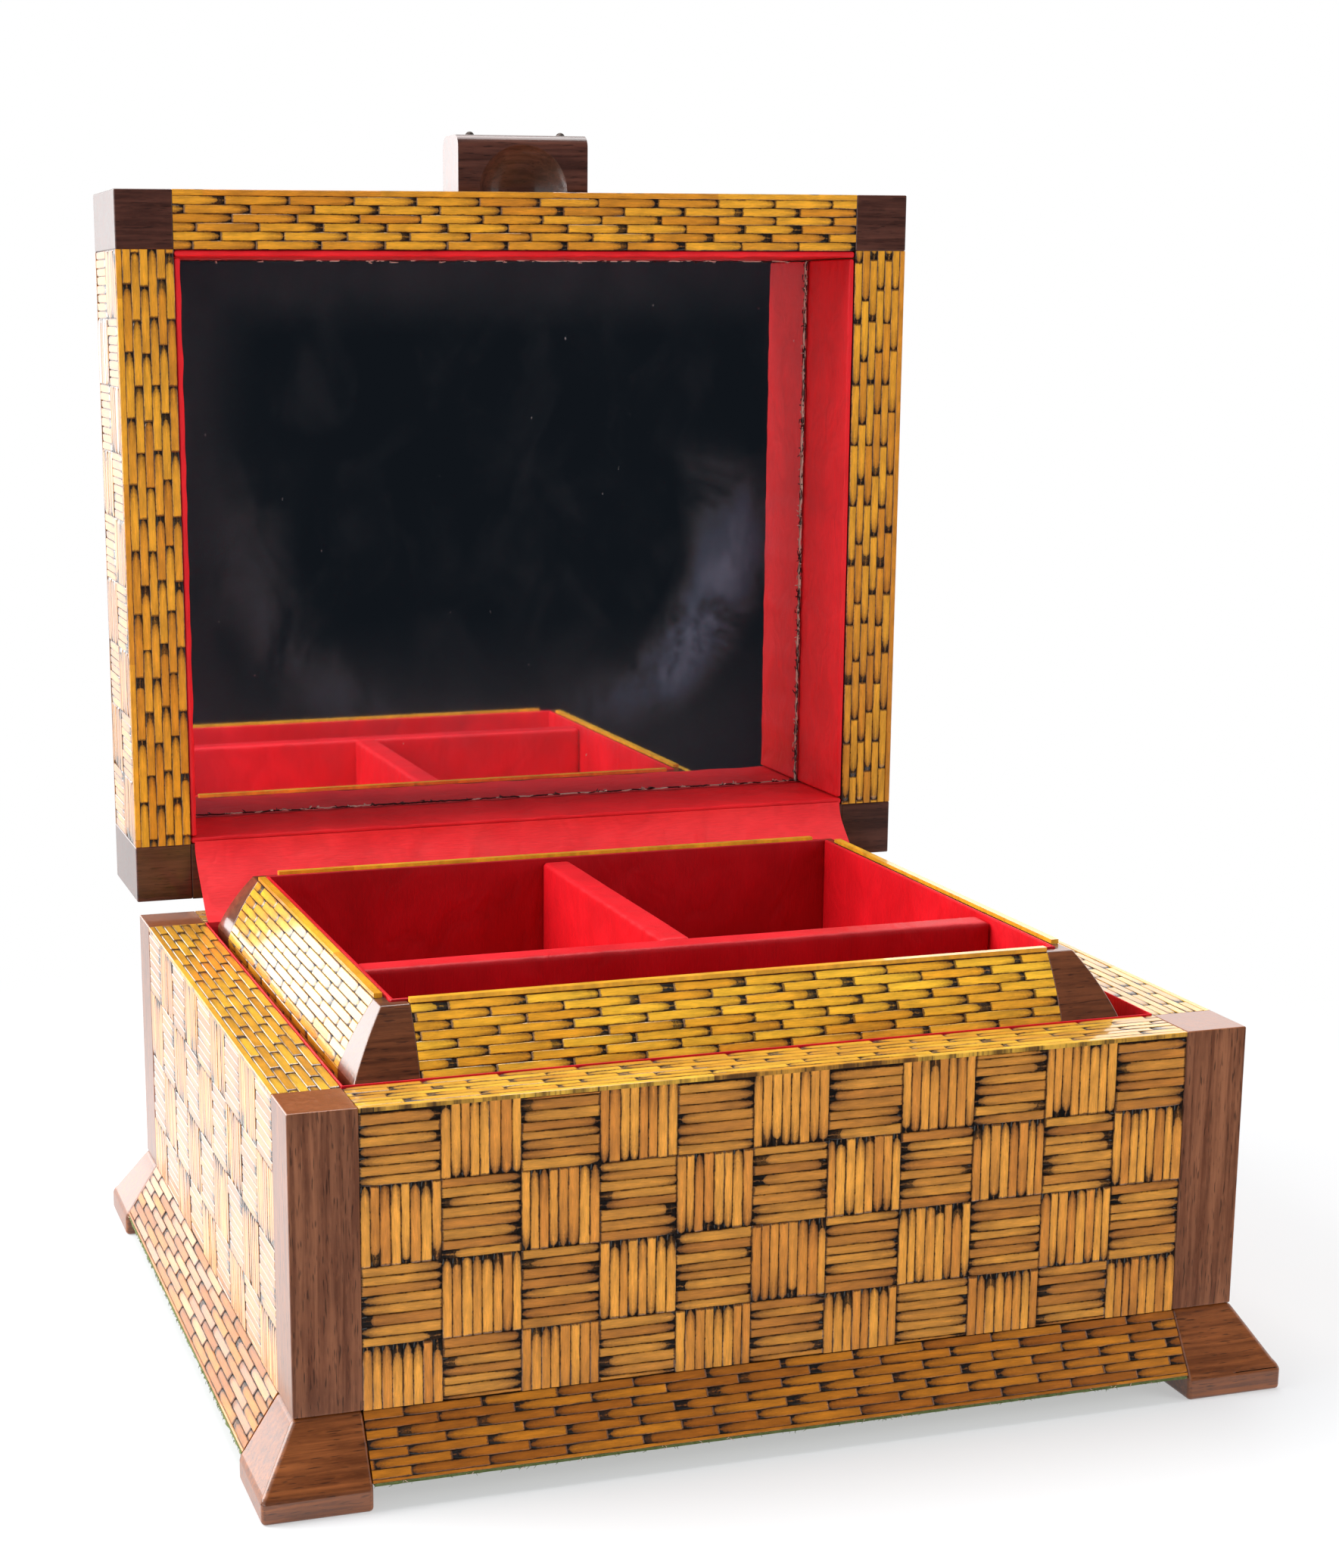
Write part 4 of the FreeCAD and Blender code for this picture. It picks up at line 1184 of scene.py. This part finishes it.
def lid_pads():
    """Satin pads round the recess, plumper in the middle than at the mirror."""
    low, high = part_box("lid_lining_pads")
    left, right = low.x + LID_PAD, high.x - LID_PAD
    bottom, top = low.z + LID_PAD, high.z - LID_PAD
    parts = (
        ("rear", low, (high.x, high.y, bottom), 0, Z),
        ("fore", (low.x, low.y, top), high, 0, -Z),
        ("left", (low.x, low.y, bottom), (left, high.y, top), 2, X),
        ("right", (right, low.y, bottom), (high.x, high.y, top), 2, -X),
    )
    for number, (side, a, b, axis, facing) in enumerate(parts):
        seed = 110 + number
        satin_slab(
            f"lid_pad_{side}", a, b, "lid", None if number else "lid_lining_pads",
            SATIN_PAD_UPRIGHT if axis else SATIN_PAD_PAINTED_LIGHT, radius=0.9 * MM, depth=0.2 * MM,
            step=1.8 * MM, seed=seed, ripple=puckers(axis, 13 * MM, 0.5 * MM, seed, facing)
        )


def cloth_path(low, pin, radius):
    """The strip's section as (y, z). Each point of the bend takes its own share of a quarter turn,
    and the path is drawn where those turns fold it flat into the gap between the rims."""
    rise = pin.y - CLOTH_PLY - low
    steps = CLOTH_TAIL_STEPS
    path = [Vector((pin.x - radius, low + rise * i / steps)) for i in range(steps)]
    slant = Vector((1, 1)).normalized()
    run = radius * math.sqrt(2)
    for i in range(CLOTH_TURN_STEPS + 1):
        t = i / CLOTH_TURN_STEPS
        share = t * t * (3 - 2 * t)
        angle = math.radians(90 * share)
        outward = Vector((-math.cos(angle), math.sin(angle)))
        aside = Vector((math.sin(angle), math.cos(angle)))
        layer = CLOTH_PLY * math.sin(math.pi * (share - 0.5))
        reach = ((t - 0.5) * run - layer * aside.dot(slant)) / outward.dot(slant)
        path.append(pin + outward * reach + aside * layer)
    return path


def hinge_cloth():
    """The satin strip across the hinge."""
    low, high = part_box("hinge_cloth")
    pin = Vector((PIN.y, PIN.z))
    radius = pin.x - low.y - CLOTH_THICK
    path = cloth_path(low.z, pin, radius)
    sag = waves(121, 5, 18 * MM, 70 * MM)
    bm = bmesh.new()
    grid = []
    for j, (y, z) in enumerate(path):
        row = []
        turned = min(1.0, max(0.0, (j - CLOTH_TAIL_STEPS) / CLOTH_TURN_STEPS))
        for i in range(CLOTH_COLUMNS + 1):
            x = low.x + (high.x - low.x) * i / CLOTH_COLUMNS
            dent = 0.1 * MM * math.sin(math.pi * turned) * sag(Vector((x, y * 3, z * 3)))
            row.append(bm.verts.new((x, y + dent, z - dent)))
        grid.append(row)
    for a, b in zip(grid, grid[1:]):
        for i in range(CLOTH_COLUMNS):
            bm.faces.new((a[i], a[i + 1], b[i + 1], b[i]))
    bm.normal_update()
    cloth = from_bmesh("hinge_cloth_satin", bm, SATIN_CLOTH_PAINTED_LIGHT)
    solid = cloth.modifiers.new("thickness", "SOLIDIFY")
    solid.thickness = CLOTH_THICK
    solid.offset = 0.0
    bpy.context.view_layer.update()
    thickened = cloth.evaluated_get(bpy.context.evaluated_depsgraph_get())
    cloth.data = bpy.data.meshes.new_from_object(thickened)
    cloth.modifiers.clear()
    smooth_faces(cloth, 60)
    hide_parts("hinge_cloth")
    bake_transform(cloth)


# Felt under the base

def felt():
    """Green felt in three pieces, with a ragged edge and loose fibres at the skirts."""
    low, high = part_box("base_felt")
    outer_low = low.xy - Vector((FELT_PROUD, FELT_PROUD))
    outer_high = high.xy + Vector((FELT_PROUD, FELT_PROUD))
    in_x, in_y = IN_X - 0.2 * MM, IN_Y - 0.2 * MM
    ragged = waves(131, 9, 2.0 * MM, 9 * MM)

    def push(point, normal):
        return 0.5 * MM * ragged(point) * (1 - abs(normal.z)) - 0.05 * MM

    parts = (
        ("long", (-in_x, outer_low.y), (in_x, outer_high.y)),
        ("left", (outer_low.x, -in_y), (-in_x, in_y)),
        ("right", (in_x, -in_y), (outer_high.x, in_y)),
    )
    for side, a, b in parts:
        vertices, faces = rounded_slab(
            Vector((*a, low.z)), Vector((*b, high.z)), 0.3 * MM, 1.0 * MM, push
        )
        piece = new_piece(f"felt_{side}", vertices, faces, [FELT], "base")
        if side == "long":
            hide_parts("base_felt")

    rng = random.Random(132)
    strands = []
    edges = box_sides(high.z, outer_low, outer_high, INNER_LOW, INNER_HIGH)
    for _, corner, along, outward, length in edges:
        for _ in range(int(length / (1.2 * MM))):
            start = corner + along * rng.uniform(0.3 * MM, length - 0.3 * MM)
            start = start - Z * rng.uniform(0.0, 0.5) * MM
            drift = along * rng.gauss(0, 0.8) * MM
            out = outward * rng.uniform(0.05, 0.35) * MM
            strands.append([
                start - outward * 0.4 * MM,
                start + out * 0.6 + drift * 0.5 - Z * rng.uniform(0.0, 0.3) * MM,
                start + out + drift - Z * rng.uniform(0.0, 0.8) * MM,
            ])
    fibres("felt_fibres", strands, 0.09 * MM, [FELT, THREAD_LIGHT], "base", 0.2)


def mirror_edge():
    """Frayed thread, pale and dark, where the pads meet the mirror."""
    rng = random.Random(141)
    low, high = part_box("lid_lining_pads")
    x0, x1 = low.x + LID_PAD, high.x - LID_PAD
    z0, z1 = low.z + LID_PAD, high.z - LID_PAD
    face = GLASS_LOW.y
    runs = (
        (Vector((x1, face, z0)), Z, -X, z1 - z0, 0.45 * MM, 1.6),
        (Vector((x0, face, z0)), Z, X, z1 - z0, 0.22 * MM, 0.5),
        (Vector((x0, face, z0)), X, Z, x1 - x0, 0.26 * MM, 0.7),
        (Vector((x0, face, z1)), X, -Z, x1 - x0, 0.2 * MM, 0.4),
    )
    strands = []
    for corner, along, inward, length, wide, wild in runs:
        at = 0.0
        while at < length:
            size = rng.uniform(1.5, 5.0) * MM
            points = []
            for k in range(4):
                point = corner + along * min(length, at + size * k / 3)
                point = point + inward * (0.15 * MM + rng.uniform(0.0, 1.0) * wide)
                points.append(point - Y * (0.15 * MM + rng.uniform(0.0, 0.5) * MM * wild))
            strands.append(points)
            if rng.random() < 0.5 * wild:
                start = points[1]
                strands.append([
                    start,
                    start + inward * rng.uniform(0.1, 0.5) * MM - Y * rng.uniform(0.1, 0.6) * MM,
                    start + inward * rng.uniform(0.1, 0.8) * MM - Y * rng.uniform(0.3, 1.1) * MM
                    + along * rng.gauss(0, 0.8) * MM,
                ])
            at += size * rng.uniform(0.5, 0.9)
    thread = []
    corner, along, inward, length, _, _ = runs[0]
    steps = int(length / (1.2 * MM))
    for k in range(steps + 1):
        out = (0.35 + 0.2 * math.sin(0.7 * k) + rng.uniform(-0.12, 0.12)) * MM
        thread.append(corner + along * length * k / steps + inward * out - Y * 0.3 * MM)
    pale, dark = THREAD_LIGHT, THREAD_DARK
    fibres("mirror_edge_thread", [thread], 0.3 * MM, [pale, dark], "lid", 0.0)
    fibres("mirror_edge_fray", strands, 0.22 * MM, [dark, pale], "lid", 0.35)


# Finishes of the CAD nodes that stay

def paint(node, material):
    mesh = frame["nodes"][node].data
    mesh.materials.clear()
    mesh.materials.append(material)


def paint_frame():
    carcass = ("base_wall", "base_floor", "lid_rail", "lid_top_board", "tray_floor")
    hinges = ("base_hinge", "lid_hinge", "hinge_pins")
    for node in frame["nodes"]:
        if node.startswith(carcass):
            paint(node, CARCASS)
        elif node.startswith(hinges):
            paint(node, BRASS)
    paint("handle_pins", STEEL)
    paint("lid_mirror", MIRROR)
    paint("mirror_card", CARD)
    paint("tray_ledges", SATIN)


# Stage, light and camera

def world():
    made = bpy.data.worlds.new("studio")
    bpy.context.scene.world = made
    graph = Graph(made)
    background = graph.nodes["Background"].inputs
    colour = graph.mix(graph.seen(), (0.4, 0.41, 0.43, 1.0), (1.0, 1.0, 1.0, 1.0))
    graph.put(background["Color"], colour)
    background["Strength"].default_value = 1.0


def stage_material(name):
    """A material without a shader: itself, its graph and the socket of its surface."""
    made = bpy.data.materials.new(name)
    graph = Graph(made)
    graph.nodes.remove(graph.nodes["Principled BSDF"])
    return made, graph, graph.nodes["Material Output"].inputs["Surface"]


def shader(graph, kind, red, green, blue):
    node = graph.nodes.new(kind)
    node.inputs["Color"].default_value = (red, green, blue, 1.0)
    return node.outputs[0]


def stage_plane(name, corners, material):
    mesh = bpy.data.meshes.new(name)
    faces = [(k, k + 1, k + 2, k + 3) for k in range(0, len(corners), 4)]
    mesh.from_pydata(corners, [], faces)
    mesh.materials.append(material)
    plane = placed(name, mesh)
    return plane


def floor():
    """A pale table that keeps the shadow near the box and fades into the white background."""
    made, graph, surface = stage_material("table_top")
    matt = shader(graph, "ShaderNodeBsdfDiffuse", 0.86, 0.87, 0.88)
    glow = shader(graph, "ShaderNodeEmission", 1.0, 1.0, 1.0)
    away = graph.nodes.new("ShaderNodeVectorMath")
    away.operation = "LENGTH"
    graph.put(away.inputs[0], graph.place((1, 1, 1)))
    fade = graph.scaled(graph.smooth(away.outputs["Value"], 0.16, 0.42), 0.55, 0.45)
    share = graph.times(graph.seen(), fade)
    mix = graph.nodes.new("ShaderNodeMixShader")
    graph.put(surface, graph.wire(mix, (share, matt, glow)))
    far = 6.0
    stage_plane("table", [(-far, -far, 0), (far, -far, 0), (far, far, 0), (-far, far, 0)], made)


def dark_room():
    """Dark studio beyond the table, which only reflections see: it keeps the mirror deep."""
    made, graph, surface = stage_material("dark_room")
    graph.put(surface, shader(graph, "ShaderNodeEmission", 0.006, 0.008, 0.011))
    left, right = -0.6, 2.6
    low, high = 0.0006, 2.4
    near, far, back = -0.135, -1.5, 0.3
    section = ((near, low), (far, low), (far, high), (back, high))
    corners = []
    for (y0, z0), (y1, z1) in zip(section, section[1:]):
        corners += [(left, y0, z0), (right, y0, z0), (right, y1, z1), (left, y1, z1)]
    plane = stage_plane("dark_room", corners, made)
    plane.visible_camera = False
    plane.visible_diffuse = False
    plane.visible_shadow = False
    plane.visible_transmission = False
    plane.visible_volume_scatter = False


def lamp(name, place, width, height, power):
    data = bpy.data.lights.new(name, "AREA")
    data.shape = "RECTANGLE"
    data.size = width
    data.size_y = height
    data.energy = power
    made = placed(name, data)
    made.location = place
    made.rotation_mode = "QUATERNION"
    made.rotation_quaternion = (LAMP_AIM - Vector(place)).to_track_quat("-Z", "Y")
    return made


def lights():
    lamp("left_softbox", (-1.1, 0.3, 0.8), 0.9, 0.9, 25)
    lamp("top_softbox", (0.0, 0.35, 1.5), 1.0, 1.0, 14)
    lamp("rear_softbox", (-0.95, 1.9, 0.4), 0.9, 1.1, 9)
    lamp("right_rear_softbox", (1.3, 2.0, 0.68), 1.0, 0.6, 1.5)
    fill = lamp("front_fill", (1.0, -0.95, 0.55), 0.7, 0.7, 6.5)
    fill.visible_glossy = False


def camera():
    data = bpy.data.cameras.new("camera")
    data.sensor_fit = "AUTO"
    data.sensor_width = SENSOR
    data.lens = FOCAL_PIXELS * SENSOR / IMAGE_HEIGHT
    data.shift_x = (IMAGE_WIDTH / 2 - PRINCIPAL_X) / IMAGE_HEIGHT
    data.shift_y = (PRINCIPAL_Y - IMAGE_HEIGHT / 2) / IMAGE_HEIGHT
    data.clip_start = 0.02
    data.clip_end = 50
    made = placed("camera", data)
    forward = Vector((
        math.sin(-CAMERA_YAW) * math.cos(CAMERA_PITCH),
        math.cos(-CAMERA_YAW) * math.cos(CAMERA_PITCH),
        math.sin(CAMERA_PITCH),
    ))
    level = Vector((math.cos(-CAMERA_YAW), -math.sin(-CAMERA_YAW), 0))
    above = level.cross(forward)
    cos_roll, sin_roll = math.cos(CAMERA_ROLL), math.sin(CAMERA_ROLL)
    right = level * cos_roll + above * sin_roll
    up = above * cos_roll - level * sin_roll
    turn = Matrix((right, up, -forward)).transposed().to_4x4()
    made.matrix_world = Matrix.Translation(CAMERA_PLACE) @ turn
    bpy.context.scene.camera = made


base_rim()
lid_rim()
base_fields()
lid_outside()
skirts()
tray_walls()
corners()
linings()
dividers()
lid_pads()
hinge_cloth()
felt()
mirror_edge()
paint_frame()
world()
floor()
dark_room()
lights()
camera()
bpy.context.scene.view_settings.view_transform = "Standard"
